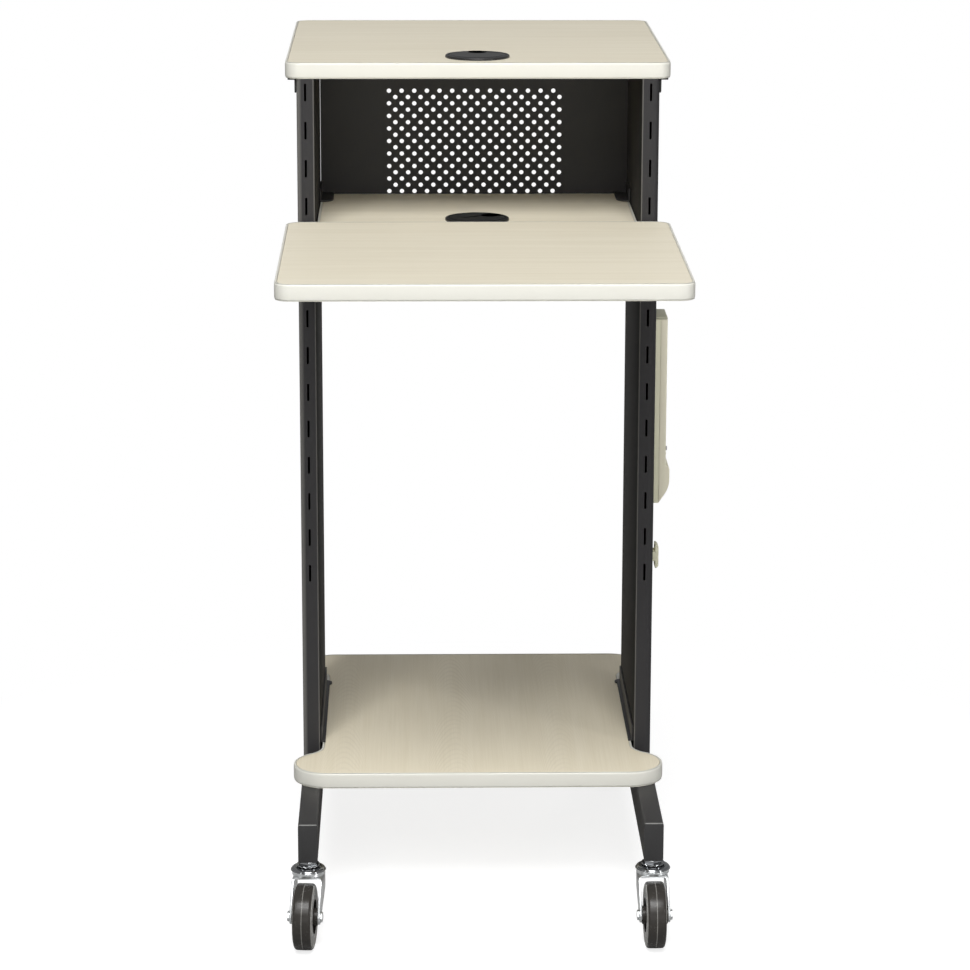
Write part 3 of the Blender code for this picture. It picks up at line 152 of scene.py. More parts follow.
def block(name, low, high):
    """A box from its low corner to its high corner, to be shaped further."""
    deselect()
    bpy.ops.mesh.primitive_cube_add(size=1, location=(Vector(low) + Vector(high)) / 2)
    piece = bpy.context.object
    piece.name = name
    piece.scale = Vector(high) - Vector(low)
    bpy.ops.object.transform_apply(location=True, rotation=False, scale=True)
    return piece


class Wire:
    """A socket in a finish. Sums of wires and numbers add Math nodes."""

    def __init__(self, finish, socket):
        self.finish = finish
        self.socket = socket

    def __add__(self, other):
        return self.finish.math_node("ADD", self, other)

    def __radd__(self, other):
        return self.finish.math_node("ADD", other, self)

    def __sub__(self, other):
        return self.finish.math_node("SUBTRACT", self, other)

    def __rsub__(self, other):
        return self.finish.math_node("SUBTRACT", other, self)

    def __mul__(self, other):
        return self.finish.math_node("MULTIPLY", self, other)

    def __rmul__(self, other):
        return self.finish.math_node("MULTIPLY", other, self)


class Finish:
    """A named material and the nodes that give it its detail."""

    def __init__(self, name, roughness, metallic=0.0):
        self.material = bpy.data.materials.new(name)
        self.material.use_nodes = True
        self.shader = self.material.node_tree.nodes["Principled BSDF"]
        self.shader.inputs["Roughness"].default_value = roughness
        self.shader.inputs["Metallic"].default_value = metallic
        self.place = self.add("ShaderNodeTexCoord", {}, {}, "Object")

    def feed(self, socket, value):
        if isinstance(value, Wire):
            self.material.node_tree.links.new(value.socket, socket)
        else:
            socket.default_value = value

    def add(self, kind, settings, inputs, output=0):
        """Adds a node with its settings first, then the values or wires of its sockets."""
        node = self.material.node_tree.nodes.new(kind)
        for name, value in settings.items():
            if name == "stops":
                for stop, (position, shade) in zip(node.color_ramp.elements, value):
                    stop.position = position
                    stop.color = (shade, shade, shade, 1)
            else:
                setattr(node, name, value)
        for name, value in inputs.items():
            self.feed(node.inputs[name], value)
        return Wire(self, node.outputs[output])

    def math_node(self, operation, first, second=0):
        return self.add("ShaderNodeMath", {"operation": operation}, {0: first, 1: second})

    def axis(self, letter):
        return self.add("ShaderNodeSeparateXYZ", {}, {0: self.place}, letter)

    def noise(self, scale, detail, stretch=(1, 1, 1)):
        """Noise on Object coordinates, drawn out along an axis where stretch is below 1."""
        spot = self.add("ShaderNodeMapping", {}, {"Vector": self.place, "Scale": stretch})
        inputs = {"Vector": spot, "Scale": scale, "Detail": detail}
        return self.add("ShaderNodeTexNoise", {}, inputs)

    def ramp(self, value, low, high):
        """The value spread from black at low to white at high."""
        stops = [(low, 0.0), (high, 1.0)]
        return self.add("ShaderNodeValToRGB", {"stops": stops}, {0: value})

    def mix(self, share, first, second):
        """From the first colour at a share of 0 to the second at 1, each a wire or RGB."""
        first, second = (
            colour if isinstance(colour, Wire) else (*colour, 1) for colour in (first, second)
        )
        # A Mix node's colours are its inputs 6 and 7 and its output 2.
        return self.add("ShaderNodeMix", {"data_type": "RGBA"}, {0: share, 6: first, 7: second}, 2)

    def paint(self, colour, roughness, relief, depth):
        """Feeds the shader: a colour, a roughness, and a relief of that depth."""
        self.feed(self.shader.inputs["Base Color"], colour)
        self.feed(self.shader.inputs["Roughness"], roughness)
        inputs = {"Height": relief, "Distance": depth, "Strength": RELIEF_STRENGTH}
        self.feed(self.shader.inputs["Normal"], self.add("ShaderNodeBump", {}, inputs))
        return self.material


def powder_coat():
    """Semi-gloss black with a fine orange peel and a faint cloudiness."""
    coat = Finish("black_powder_coat", 0.42)
    coat.shader.inputs["Specular IOR Level"].default_value = 0.34
    peel = coat.noise(850, 1.5)
    cloud = coat.noise(9, 3)
    colour = coat.mix(cloud, (0.026, 0.025, 0.025), (0.039, 0.038, 0.038))
    return coat.paint(colour, 0.38 + cloud * 0.10 + peel * 0.05, peel, 0.00012)


def moulded(name, dark, light, roughness):
    """Injection moulded plastic: a spark-eroded grain and slow changes of tone."""
    plastic = Finish(name, roughness)
    speckle = plastic.noise(1400, 1)
    tone = plastic.noise(22, 2)
    colour = plastic.mix(tone * 0.7 + speckle * 0.3, dark, light)
    return plastic.paint(colour, roughness - 0.04 + speckle * 0.08, speckle, 0.00005)


def plug_with_painted_highlight(top):
    """The plugs' black plastic, with a pale painted highlight along their top edge."""
    plug = Finish("foot_plug_plastic", 0.40)
    speckle = plug.noise(1400, 1)
    highlight_breakup = plug.noise(260, 3) * 0.7 + 0.3
    highlight_from = top - 0.0011
    # A pale painted highlight along the top edge, broken up by noise.
    rim = plug.ramp((plug.axis("Z") - highlight_from) * 900.0, 0.30, 0.75)
    black = plug.mix(speckle, (0.020, 0.020, 0.020), (0.031, 0.030, 0.031))
    colour = plug.mix(rim * highlight_breakup, black, (0.30, 0.30, 0.29))
    return plug.paint(colour, 0.36 + speckle * 0.08, speckle, 0.00005)


def settle(piece, body, finish, node):
    """Shades a piece, gives it its finish, hangs it on its body and hides the part it stands in
    for.
    """
    take(piece)
    bpy.ops.object.shade_smooth_by_angle(angle=math.radians(SMOOTH_BELOW_DEG))
    piece.data.materials.clear()
    piece.data.materials.append(finish)
    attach(piece, body)
    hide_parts(node)


coat_black = powder_coat()
foot_plug_black = plug_with_painted_highlight(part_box("foot_tube_left_front_cap")[1].z)
FOOT_CORNER = 0.003
PLUG_CORNER = 0.0026
PLUG_EDGE = 0.0005
PLUG_GAP = 0.0003

for side in ("left", "right"):
    node = "foot_tube_" + side
    tube_low, tube_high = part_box(node)
    tube = block(side + "_foot", tube_low, tube_high)
    bevel(tube, lengthwise(1), FOOT_CORNER, 5)
    settle(tube, "cart", coat_black, node)
    for end, outward, inside in (("front", -1, tube_low.y), ("rear", 1, tube_high.y)):
        cap_node = node + "_" + end + "_cap"
        low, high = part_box(cap_node)
        outside = low.y if outward < 0 else high.y
        near, far = sorted((inside + outward * PLUG_GAP, outside))
        plug = block(side + "_" + end + "_plug", (low.x, near, low.z), (high.x, far, high.z))
        bevel(plug, lengthwise(1), PLUG_CORNER, 5)
        bevel(plug, lambda edge: abs(middle(edge).y - outside) < SAME_PLACE, PLUG_EDGE, 3)
        settle(plug, "cart", foot_plug_black, cap_node)


# Casters: a hard rubber wheel with a moulding seam, a fork pressed from sheet steel and zinc
# plated, two ball races, a star washer and a nut on the stem, and a bolt for an axle.
WHEEL_RADIUS = 0.039
TREAD_HALF = 0.011
TREAD_ROUND = 0.0036
SEAM_HALF = 0.00045
SEAM_RISE = 1.004
HUB_HALF = 0.0145
TRAIL = 0.035
WHEEL_CENTRE = (0, -TRAIL, WHEEL_RADIUS)
RING_INSIDE = 0.0207
RING_MARGIN = 0.0004
# From the tread's side in to the hub, how far each step goes inwards and then out or in along
# the axle.
WHEEL_STEPS = (
    (0.0006, 0.0003), (0.0135, 0), (0.0009, -0.0006),  # flat side of the tyre and its lip
    (0.0008, -0.0052), (0.0018, 0),  # wall and floor of the recess
    (0.0004, 0.0008), (0.0010, 0), (0.0004, -0.0008), (0.0016, 0),  # raised ring on the floor
    (0.0010, 0.0020), (0.0020, 0), (0.0006, 0.0072), (0.0009, 0.0004),  # shoulder and hub
)

SHEET = 0.0025
FORK_GAP = 0.00075
CROWN_BOTTOM = 2 * WHEEL_RADIUS + 0.0005
STEM_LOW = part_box("front_left_caster_fork")[1].z + 0.0003
FOOT_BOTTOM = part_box("foot_tube_left")[0].z
RACE_RADIUS = 0.0201
RACE_HEIGHT = 0.0036
RACE_STEPS = ((0.0010, 0), (0.0012, 0.0009), (0.0008, 0))
RIM_RADIUS = 0.02075
RIM_LOW, RIM_HIGH = 0.0001, 0.0009
STAR_RADIUS = 0.0137
STAR_LOW, STAR_HIGH = 0.0049, 0.0061
STAR_POINT_RISE = 0.0014
STAR_SIDES = 32
NUT_RADIUS = 0.011
NUT_LOW = 0.0060
PIN_RADIUS = 0.0055
PIN_DEPTH = 0.0040

AXLE_RADIUS = 0.004
AXLE_END = 0.0033
WASHER_RADIUS = 0.0072
WASHER_HEIGHT = 0.0008
HEAD_RADIUS = 0.0062
HEAD_LOW, HEAD_HIGH = 0.0007, 0.0031


def crosswise(axis):
    """A test for the edges that don't run along the axis, such as a cylinder's two rims."""
    return lambda edge: not runs_along(edge, axis)


def drum(name, radius, low, high, sides=64, axis=2):
    """A cylinder from low to high along X, Y or Z, to be shaped further."""
    turn = {0: (0, math.pi / 2, 0), 1: (math.pi / 2, 0, 0), 2: (0, 0, 0)}[axis]
    place = [0, 0, 0]
    place[axis] = (low + high) / 2
    deselect()
    bpy.ops.mesh.primitive_cylinder_add(
        vertices=sides, radius=radius, depth=high - low, location=place, rotation=turn
    )
    piece = bpy.context.object
    piece.name = name
    bpy.ops.object.transform_apply(location=True, rotation=True, scale=True)
    return piece


def step_ends(piece, axis, steps, which=0):
    """Insets both ends of a drum and moves them out, for each (inset, out) step in turn.

    With which at 1 or -1, only the end on that side of the axis is worked.
    """
    def is_end(face):
        facing = face.normal[axis]
        return abs(facing) > 0.999 and len(face.verts) > 8 and facing * which >= 0

    choose(piece, "FACE", is_end)
    for inward, out in steps:
        if inward:
            bpy.ops.mesh.inset(thickness=inward)
        if out:
            bpy.ops.mesh.extrude_region_shrink_fatten(TRANSFORM_OT_shrink_fatten={"value": out})
    close()


def join(name, pieces):
    """One object made of several."""
    take(pieces[0])
    for piece in pieces[1:]:
        piece.select_set(True)
    bpy.ops.object.join()
    bpy.context.object.name = name
    return bpy.context.object


def moved(piece, offset):
    """Moves the piece's mesh and leaves its object at the origin."""
    piece.data.transform(Matrix.Translation(offset))
    return piece


def placed(mesh, name):
    """A new object for the mesh, at the origin."""
    piece = bpy.data.objects.new(name, mesh)
    bpy.context.scene.collection.objects.link(piece)
    return piece


def copied(pattern, name, place):
    """A copy of the pattern with a mesh of its own, put in place."""
    mesh = pattern.data.copy()
    mesh.transform(place)
    return placed(mesh, name)


def modify(piece, kind, **settings):
    """Adds one modifier to the piece, sets it and applies it."""
    modifier = piece.modifiers.new(kind.lower(), kind)
    for name, value in settings.items():
        setattr(modifier, name, value)
    take(piece)
    bpy.ops.object.modifier_apply(modifier=modifier.name)
    return piece


def softened(node, name, width=0.0004, segments=2, rounds=()):
    """A copy of a solid: its loose triangles joined, its flat faces whole, its edges rounded.

    Each (test, width) in rounds first gives the edges that pass the test a wider round.
    """
    piece = placed(frame["nodes"][node].data.copy(), name)
    take(piece)
    bpy.ops.mesh.customdata_custom_splitnormals_clear()
    choose(piece, "VERT", everything)
    bpy.ops.mesh.remove_doubles(threshold=SAME_PLACE)
    bpy.ops.mesh.select_all(action="SELECT")
    bpy.ops.mesh.dissolve_limited(angle_limit=math.radians(0.5))
    close()
    for test, wide in rounds:
        bevel(piece, test, wide, 6)
    return modify(
        piece, "BEVEL", width=width, segments=segments, limit_method="ANGLE",
        angle_limit=math.radians(40), use_clamp_overlap=True,
    )


def make_wheel():
    """Tread with its seam, recessed sides and hub, behind the swivel's axis by the trail."""
    wheel = drum("wheel", WHEEL_RADIUS, -TREAD_HALF, TREAD_HALF, 96, 0)
    bevel(wheel, lambda edge: abs(middle(edge).x) > TREAD_HALF * 0.99, TREAD_ROUND, 6)
    choose(wheel, "FACE", everything)
    for seam in (-SEAM_HALF, SEAM_HALF):
        bpy.ops.mesh.select_all(action="SELECT")
        bpy.ops.mesh.bisect(plane_co=(seam, 0, 0), plane_no=(1, 0, 0))
    choose(wheel, "FACE", lambda face: abs(face.calc_center_median().x) < SEAM_HALF)
    bpy.ops.transform.resize(value=(1, SEAM_RISE, SEAM_RISE))
    close()
    step_ends(wheel, 0, WHEEL_STEPS)
    # Faces of the side rings and of the seam are marked for the rubber's painted highlights.
    ring = wheel.data.attributes.new("ring", "FLOAT", "FACE")
    for face in wheel.data.polygons:
        out = abs(face.center.x)
        reach = math.hypot(face.center.y, face.center.z)
        if out > TREAD_HALF - RING_MARGIN and reach > RING_INSIDE:
            ring.data[face.index].value = 1.0
        elif out < SEAM_HALF and reach > WHEEL_RADIUS * 0.99:
            ring.data[face.index].value = 0.6
    return moved(wheel, WHEEL_CENTRE)


def make_stem():
    """The top race with its rolled rim, the star washer, and the nut up to the tube.

    The rim's brightness is a painted highlight in the chrome's colour.
    """
    race = drum("race", RACE_RADIUS, STEM_LOW, STEM_LOW + RACE_HEIGHT)
    bevel(race, lambda edge: middle(edge).z < STEM_LOW + 0.0001, 0.0006, 3)
    bevel(race, lambda edge: middle(edge).z > STEM_LOW + RACE_HEIGHT - 0.0001, 0.0028, 7)
    step_ends(race, 2, RACE_STEPS, 1)
    rim = drum("rim", RIM_RADIUS, STEM_LOW + RIM_LOW, STEM_LOW + RIM_HIGH)
    bevel(rim, crosswise(2), 0.00035, 3)

    def is_point(vert):
        """Every second corner of the washer, which is bent up to a point of the star."""
        corner = round(math.degrees(math.atan2(vert.co.y, vert.co.x)) / (360 / STAR_SIDES))
        return math.hypot(vert.co.x, vert.co.y) > STAR_RADIUS - 0.0007 and corner % 2 == 0

    star = drum("star", STAR_RADIUS, STEM_LOW + STAR_LOW, STEM_LOW + STAR_HIGH, STAR_SIDES)
    bevel(star, crosswise(2), 0.0002, 1)
    choose(star, "VERT", is_point)
    bpy.ops.transform.translate(value=(0, 0, STAR_POINT_RISE))
    close()
    nut = drum("nut", NUT_RADIUS, STEM_LOW + NUT_LOW, FOOT_BOTTOM - 0.0002, 6)
    bevel(nut, crosswise(2), 0.0007, 2)
    pin = drum("pin", PIN_RADIUS, CROWN_BOTTOM - PIN_DEPTH, STEM_LOW + 0.001, 32)
    bevel(pin, crosswise(2), 0.0005, 2)
    return join("stem", [race, rim, star, nut, pin])


def make_axle():
    """A hexagon head and a locking nut, each on a washer, and the bolt's rounded end."""
    cheek = HUB_HALF + FORK_GAP + SHEET
    parts = []
    for side in (-1, 1):
        near, far = sorted((side * cheek, side * (cheek + WASHER_HEIGHT)))
        washer = drum("washer", WASHER_RADIUS, near, far, 32, 0)
        bevel(washer, crosswise(0), 0.0002, 1)
        near, far = sorted((side * (cheek + HEAD_LOW), side * (cheek + HEAD_HIGH)))
        head = drum("head", HEAD_RADIUS, near, far, 6, 0)
        bevel(head, crosswise(0), 0.0006, 2)
        parts += [washer, head]
    bolt = drum("bolt", AXLE_RADIUS, -cheek - AXLE_END, cheek + AXLE_END, 24, 0)
    bevel(bolt, crosswise(0), 0.0006, 2)
    return moved(join("axle", parts + [bolt]), WHEEL_CENTRE)


def hard_rubber():
    """Dark waxy rubber, scuffed on the tread, with painted highlights on its side rings and seam.
    """
    rubber = Finish("hard_black_rubber", 0.32)
    rubber.shader.inputs["Specular IOR Level"].default_value = 0.24
    scuff = rubber.noise(160, 4)
    tone = rubber.noise(30, 2)
    black = rubber.mix(tone * 0.6 + scuff * 0.4, (0.021, 0.019, 0.017), (0.048, 0.044, 0.039))
    # Painted highlights: pale on the marked side rings, a little less pale on the seam.
    ring = rubber.add("ShaderNodeAttribute", {"attribute_name": "ring"}, {}, "Fac")
    colour = rubber.mix(ring * (0.45 + scuff * 0.55), black, (0.400, 0.390, 0.365))
    return rubber.paint(colour, 0.16 + scuff * 0.18, scuff, 0.00008)


def plated(name, dark, light, rough_low, rough_high, highlight_top=None):
    """Bright metal with a faint cloud in its plating and fine polishing marks.

    With a rim height given, what lies below it gets a pale painted highlight.
    """
    plate = Finish(name, rough_low, 1.0)
    cloud = plate.noise(70, 3)
    marks = plate.noise(900, 2, (1, 1, 0.08))
    colour = plate.mix(cloud, dark, light)
    if highlight_top:
        painted_rim_highlight = plate.ramp((highlight_top - plate.axis("Z")) * 3000.0, 0.0, 1.0)
        colour = plate.mix(painted_rim_highlight, colour, (0.86, 0.88, 0.88))
    return plate.paint(colour, rough_low + (rough_high - rough_low) * cloud, marks, 0.00001)


rubber_black = hard_rubber()
zinc = plated("bright_zinc", (0.70, 0.72, 0.73), (0.86, 0.88, 0.88), 0.22, 0.38)
# The chrome is given darker than real plating, a painted dark reflection of the black foot tube
# above it. The race's rim gets a painted highlight.
chrome = plated(
    "chrome", (0.27, 0.28, 0.29), (0.42, 0.43, 0.44), 0.08, 0.16, STEM_LOW + 0.0010
)
joints = {joint["name"]: joint for joint in frame["joints"]}
wheel_pattern = make_wheel()
stem_pattern = make_stem()
axle_pattern = make_axle()

for place in ("front_left", "front_right", "rear_left", "rear_right"):
    prefix = place + "_caster_"
    swivel = Vector(joints[prefix + "swivel"]["pos_m"])
    across = Vector(joints[place + "_wheel_spin"]["axis"])
    upright = Matrix.Translation((swivel.x, swivel.y, 0))
    turned = upright @ Matrix.Rotation(math.atan2(across.y, across.x), 4, "Z")
    stem = copied(stem_pattern, place + "_stem", upright)
    settle(stem, "cart", chrome, prefix + "stem")
    wheel = copied(wheel_pattern, place + "_tyre", turned)
    settle(wheel, place + "_wheel", rubber_black, prefix + "wheel")
    axle = copied(axle_pattern, place + "_bolt", turned)
    settle(axle, place + "_caster", zinc, prefix + "axle")
    fork = softened(prefix + "fork", place + "_fork", 0.0005)
    settle(fork, place + "_caster", zinc, prefix + "fork")
    if place.startswith("rear"):
        pedal = softened(prefix + "pedal", place + "_brake")
        settle(pedal, place + "_pedal", zinc, prefix + "pedal")
for pattern in (wheel_pattern, stem_pattern, axle_pattern):
    bpy.data.objects.remove(pattern, do_unlink=True)


# Side panels: each a deep, flat column folded from sheet steel, with a round front corner
# outside, and one column of slots down its front for the keyboard shelf's hooks.
PANEL_WALL = 0.0016
PANEL_ROUND = 0.008
PANEL_FOLD = 0.002
SLOTS = 14
SLOT_PITCH = 0.0453
SLOT_LENGTH = 0.021
SLOT_WIDTH = 0.0027
SLOT_ROUND = 0.0008
SLOT_REACH = 0.004
FIRST_SLOT_DROP = 0.0159


def cut(piece, tool):
    """Takes the tool's shape out of the piece."""
    modify(piece, "BOOLEAN", operation="DIFFERENCE", solver="EXACT", object=tool)
    bpy.data.objects.remove(tool, do_unlink=True)


def repeated(piece, count, step):
    """Fills the piece's mesh with that many copies of it, each one step further."""
    return modify(
        piece, "ARRAY", count=count, use_relative_offset=False, use_constant_offset=True,
        constant_offset_displace=step,
    )


def panel_coat():
    """The same powder coat, with painted highlights and painted shade in its colour.

    Painted highlights run along each panel's inner front fold and the left one's round corner.
    The inner faces are duller, with painted shade, darkest at the front and paler towards the
    rear.
    """
    low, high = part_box("side_panel_right")
    centre_x = (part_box("side_panel_left")[0].x + high.x) / 2
    inner, outer = low.x - centre_x, high.x - centre_x
    coat = Finish("panel_powder_coat", 0.44)
    coat.shader.inputs["Specular IOR Level"].default_value = 0.22
    peel = coat.noise(850, 1.5)
    cloud = coat.noise(9, 3)
    black = coat.mix(cloud, (0.027, 0.026, 0.027), (0.039, 0.038, 0.039))
    from_left = centre_x - coat.axis("X")
    across = coat.math_node("ABSOLUTE", from_left)
    back = coat.axis("Y") - low.y
    inside = coat.ramp(1.0 - (across - inner) * 1200.0, 0.10, 0.90)
    depth_share = back * (1 / (high.y - low.y))
    # Painted shade on the inner faces, darkest at the front and paler towards the rear.
    painted_inner_shade = coat.mix(depth_share, (0.004, 0.004, 0.003), (0.050, 0.048, 0.046))
    coated = coat.mix(inside, black, painted_inner_shade)
    # Painted highlights near the front, along the inner fold and on the left panel's round corner.
    off_fold = coat.math_node("ABSOLUTE", across - (inner + 0.0010))
    fold_highlight = coat.ramp(1.0 - off_fold * 900.0, 0.1, 0.8)
    corner = coat.ramp((from_left - (outer - 0.0060)) * 250.0, 0.0, 1.0)
    front = coat.ramp(1.5 - back * 80.0, 0.0, 1.0)
    painted_highlights = (fold_highlight * 0.75 + corner) * front
    colour = coat.mix(painted_highlights, coated, (0.165, 0.160, 0.150))
    return coat.paint(colour, 0.44 + cloud * 0.10 + inside * 0.30, peel, 0.00012)


def upright_beyond(x, outward):
    """A test for the upright edges on the side of x that outward, 1 or -1, points to."""
    return lambda edge: runs_along(edge, 2) and (middle(edge).x - x) * outward > 0


panel_black = panel_coat()

for side, outward in (("left", -1), ("right", 1)):
    node = "side_panel_" + side
    low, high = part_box(node)
    panel_x = (low.x + high.x) / 2
    panel = block(side + "_panel", low, high)
    bevel(panel, upright_beyond(panel_x, outward), PANEL_ROUND, 8)
    bevel(panel, upright_beyond(panel_x, -outward), PANEL_FOLD, 4)
    choose(panel, "FACE", lambda face: abs(face.normal.z) > 0.999)
    bpy.ops.mesh.delete(type="FACE")
    close()
    modify(panel, "SOLIDIFY", thickness=PANEL_WALL, offset=-1)
    first = high.z - FIRST_SLOT_DROP
    slot = block(
        "slot",
        (panel_x - SLOT_WIDTH / 2, low.y - SLOT_REACH, first - SLOT_LENGTH / 2),
        (panel_x + SLOT_WIDTH / 2, low.y + SLOT_REACH, first + SLOT_LENGTH / 2),
    )
    bevel(slot, lengthwise(1), SLOT_ROUND, 3)
    cut(panel, repeated(slot, SLOTS, (0, 0, -SLOT_PITCH)))
    settle(panel, "cart", panel_black, node)


# Lower shelf: particle board faced with a pale wood-grain laminate, with an ivory edging glued
# round it, its rims rounded over. Its four corners swell into round ears over the foot tubes,
# and its sides draw in to a neck between the panels. Its grain runs from front to rear.
EDGING = 0.0032
EDGING_ROUND = 0.0026
BOARD_GAP = 0.00012
BOARD_EDGE = 0.0002
CABLE_HOLE = 0.0362
CUT_REACH = 0.01
EAR_RADIUS = 0.042
NECK_RADIUS = 0.030
NECK_CLEARANCE = 0.0025
FIRST_ARCH = -0.037
ARCH_PITCH = 0.133


def laminate(name, grain, dark, light, arches=False):
    """Wood grain in print: fine fibres, slow streaks and, where asked for, nested arches."""
    board = Finish(name, 0.42)
    board.shader.inputs["Specular IOR Level"].default_value = 0.25
    fine = (0.011, 1, 1) if grain == "X" else (1, 0.011, 1)
    slow = (0.05, 1, 1) if grain == "X" else (1, 0.05, 1)
    fibres = board.noise(620, 2.5, fine)
    streaks = board.noise(70, 3, slow)
    cloud = board.noise(5, 2)
    tone = fibres * 0.40 + streaks * 0.42 + cloud * 0.18
    colour = board.mix(board.ramp(tone, 0.36, 0.64), dark, light)
    if arches:
        wander = board.noise(9, 2, (1, 0.35, 1)) - 0.5
        along = board.axis("X") - FIRST_ARCH + wander * 0.016
        off = board.math_node("PINGPONG", along, ARCH_PITCH / 2)
        height = board.axis("Y") + off * off * 150.0 + wander * 0.10
        wave = board.math_node("SINE", height * 330.0)
        line = board.ramp(wave * 0.5 + 0.5, 0.45, 1.0)
        strength = board.ramp(board.noise(26, 2, (1, 0.25, 1)), 0.30, 0.70)
        colour = board.mix(line * strength * 0.30, colour, (0.650, 0.585, 0.450))
    return board.paint(colour, 0.40 + fibres * 0.12, fibres, 0.00003)


def edge_band():
    """Extruded ivory plastic with a soft satin face."""
    band = Finish("cream_edging", 0.36)
    speckle = band.noise(900, 1)
    tone = band.noise(12, 2)
    colour = band.mix(tone * 0.7 + speckle * 0.3, (0.680, 0.670, 0.605), (0.722, 0.714, 0.650))
    return band.paint(colour, 0.33 + speckle * 0.06, speckle, 0.00003)


def thicken(sheet, thickness):
    """Draws a flat sheet down into a closed slab or ring."""
    choose(sheet, "FACE", everything)
    bpy.ops.mesh.extrude_region_move(TRANSFORM_OT_translate={"value": (0, 0, -thickness)})
    bpy.ops.mesh.select_all(action="SELECT")
    bpy.ops.mesh.normals_make_consistent(inside=False)
    close()


def shelf(name, sheet, node, body, finish, liner=None):
    """Parts the sheet into a board and its edging, and gives both their thickness.

    With the node of a grommet's liner, the board gets a hole for it.
    """
    low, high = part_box(node + "_edging")

    def on_rim(edge):
        return min(abs(middle(edge).z - z) for z in (high.z, low.z)) < SAME_PLACE

    choose(sheet, "FACE", everything)
    bpy.ops.mesh.region_to_loop()
    bpy.ops.mesh.mark_seam()
    choose(sheet, "FACE", everything)
    bpy.ops.mesh.inset(thickness=EDGING)
    before = set(bpy.data.objects)
    bpy.ops.mesh.separate(type="SELECTED")
    close()
    board = (set(bpy.data.objects) - before).pop()
    board.name = name + "_board"
    sheet.name = name + "_edge"
    # The board loses a frame of four-sided faces as wide as the gap to its edging.
    choose(board, "FACE", everything)
    bpy.ops.mesh.inset(thickness=BOARD_GAP)
    choose(board, "FACE", lambda face: len(face.verts) < 5)
    bpy.ops.mesh.delete(type="FACE")
    close()
    thicken(sheet, high.z - low.z)
    bevel(sheet, lambda edge: edge.seam and on_rim(edge), EDGING_ROUND, 5)
    thicken(board, high.z - low.z)
    bevel(board, lambda edge: abs(middle(edge).z - high.z) < SAME_PLACE, BOARD_EDGE, 1)
    if liner:
        liner_low, liner_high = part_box(liner)
        spot = (liner_low + liner_high) / 2
        hole = drum("hole", CABLE_HOLE, low.z - CUT_REACH, high.z + CUT_REACH, 96)
        cut(board, moved(hole, (spot.x, spot.y, 0)))
    settle(sheet, body, ivory_edge, node + "_edging")
    settle(board, body, finish, node)


ivory_edge = edge_band()
laminate_x = laminate(
    "cream_laminate_cross_grain", "X", (0.715, 0.658, 0.522), (0.781, 0.728, 0.597)
)
# The lower shelf's copy of the print is paler and warmer, painted light against the shade of the
# shelves above it.
laminate_y = laminate(
    "cream_laminate_arched_grain", "Y", (0.773, 0.701, 0.537), (0.838, 0.771, 0.614), True
)

low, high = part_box("lower_shelf_edging")
shelf_middle = (low + high) / 2
neck_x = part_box("side_panel_right")[0].x - NECK_CLEARANCE - shelf_middle.x
ear = Vector((high.x - shelf_middle.x - EAR_RADIUS, high.y - shelf_middle.y - EAR_RADIUS, 0))
fillet_x = neck_x + NECK_RADIUS
fillet_y = ear.y - math.sqrt((EAR_RADIUS + NECK_RADIUS) ** 2 - (fillet_x - ear.x) ** 2)
fillet = Vector((fillet_x, fillet_y, 0))
lean = math.atan2(ear.y - fillet.y, ear.x - fillet.x)
deselect()
bpy.ops.mesh.primitive_plane_add(size=0.001)
outline = bpy.context.object
choose(outline, "VERT", everything)
bpy.ops.mesh.merge(type="CENTER")
bpy.ops.transform.translate(value=(neck_x, 0, 0))
bpy.ops.mesh.extrude_region_move(TRANSFORM_OT_translate={"value": (0, fillet_y, 0)})
bpy.ops.mesh.spin(steps=10, angle=math.pi - lean, center=fillet, axis=(0, 0, 1))
bpy.ops.mesh.spin(steps=22, angle=math.pi / 2 - (lean - math.pi), center=ear, axis=(0, 0, -1))
bpy.ops.mesh.extrude_region_move(TRANSFORM_OT_translate={"value": (-ear.x, 0, 0)})
close()
modify(outline, "MIRROR", use_axis=(True, True, False), merge_threshold=0.0001)
choose(outline, "EDGE", everything)
bpy.ops.mesh.edge_face_add()
bpy.ops.mesh.normals_make_consistent(inside=False)
close()
moved(outline, (shelf_middle.x, shelf_middle.y, high.z))
shelf("lower", outline, "lower_shelf", "cart", laminate_y)


# Angles along the lower shelf, one at the foot of each panel: bent steel sheet with a round
# tab at the rear end, powder coated black and screwed down to the board.
def coated_steel(node, name, body="cart"):
    """A softened copy of a solid in the black powder coat."""
    settle(softened(node, name), body, coat_black, node)


for side in ("left", "right"):
    coated_steel("lower_shelf_angle_" + side, side + "_lower_angle")


# Back panel: one sheet of steel, perforated in staggered rows, with a flange down each side
# that is screwed to the side panels.
HOLE_PITCH = 0.015875
HOLE_RADIUS = 0.0028
HOLE_SIDES = 14
HOLE_COLUMNS = 14
HOLE_ROWS = 17
HOLE_REACH = 0.002
FIRST_HOLE_DROP = 0.0474
BACK_SHEET = 0.0012

low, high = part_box("back_panel")
rear_y = low.y + BACK_SHEET
sheet = block("back", low, (high.x, rear_y, high.z))
for fold_x in (low.x + BACK_SHEET, high.x - BACK_SHEET):
    choose(sheet, "FACE", everything)
    bpy.ops.mesh.bisect(plane_co=(fold_x, 0, 0), plane_no=(1, 0, 0))
    close()


def is_flange(face):
    """The narrow rear faces beyond the two folds."""
    centre_x = face.calc_center_median().x
    return face.normal.y > 0.999 and min(abs(centre_x - x) for x in (low.x, high.x)) < BACK_SHEET


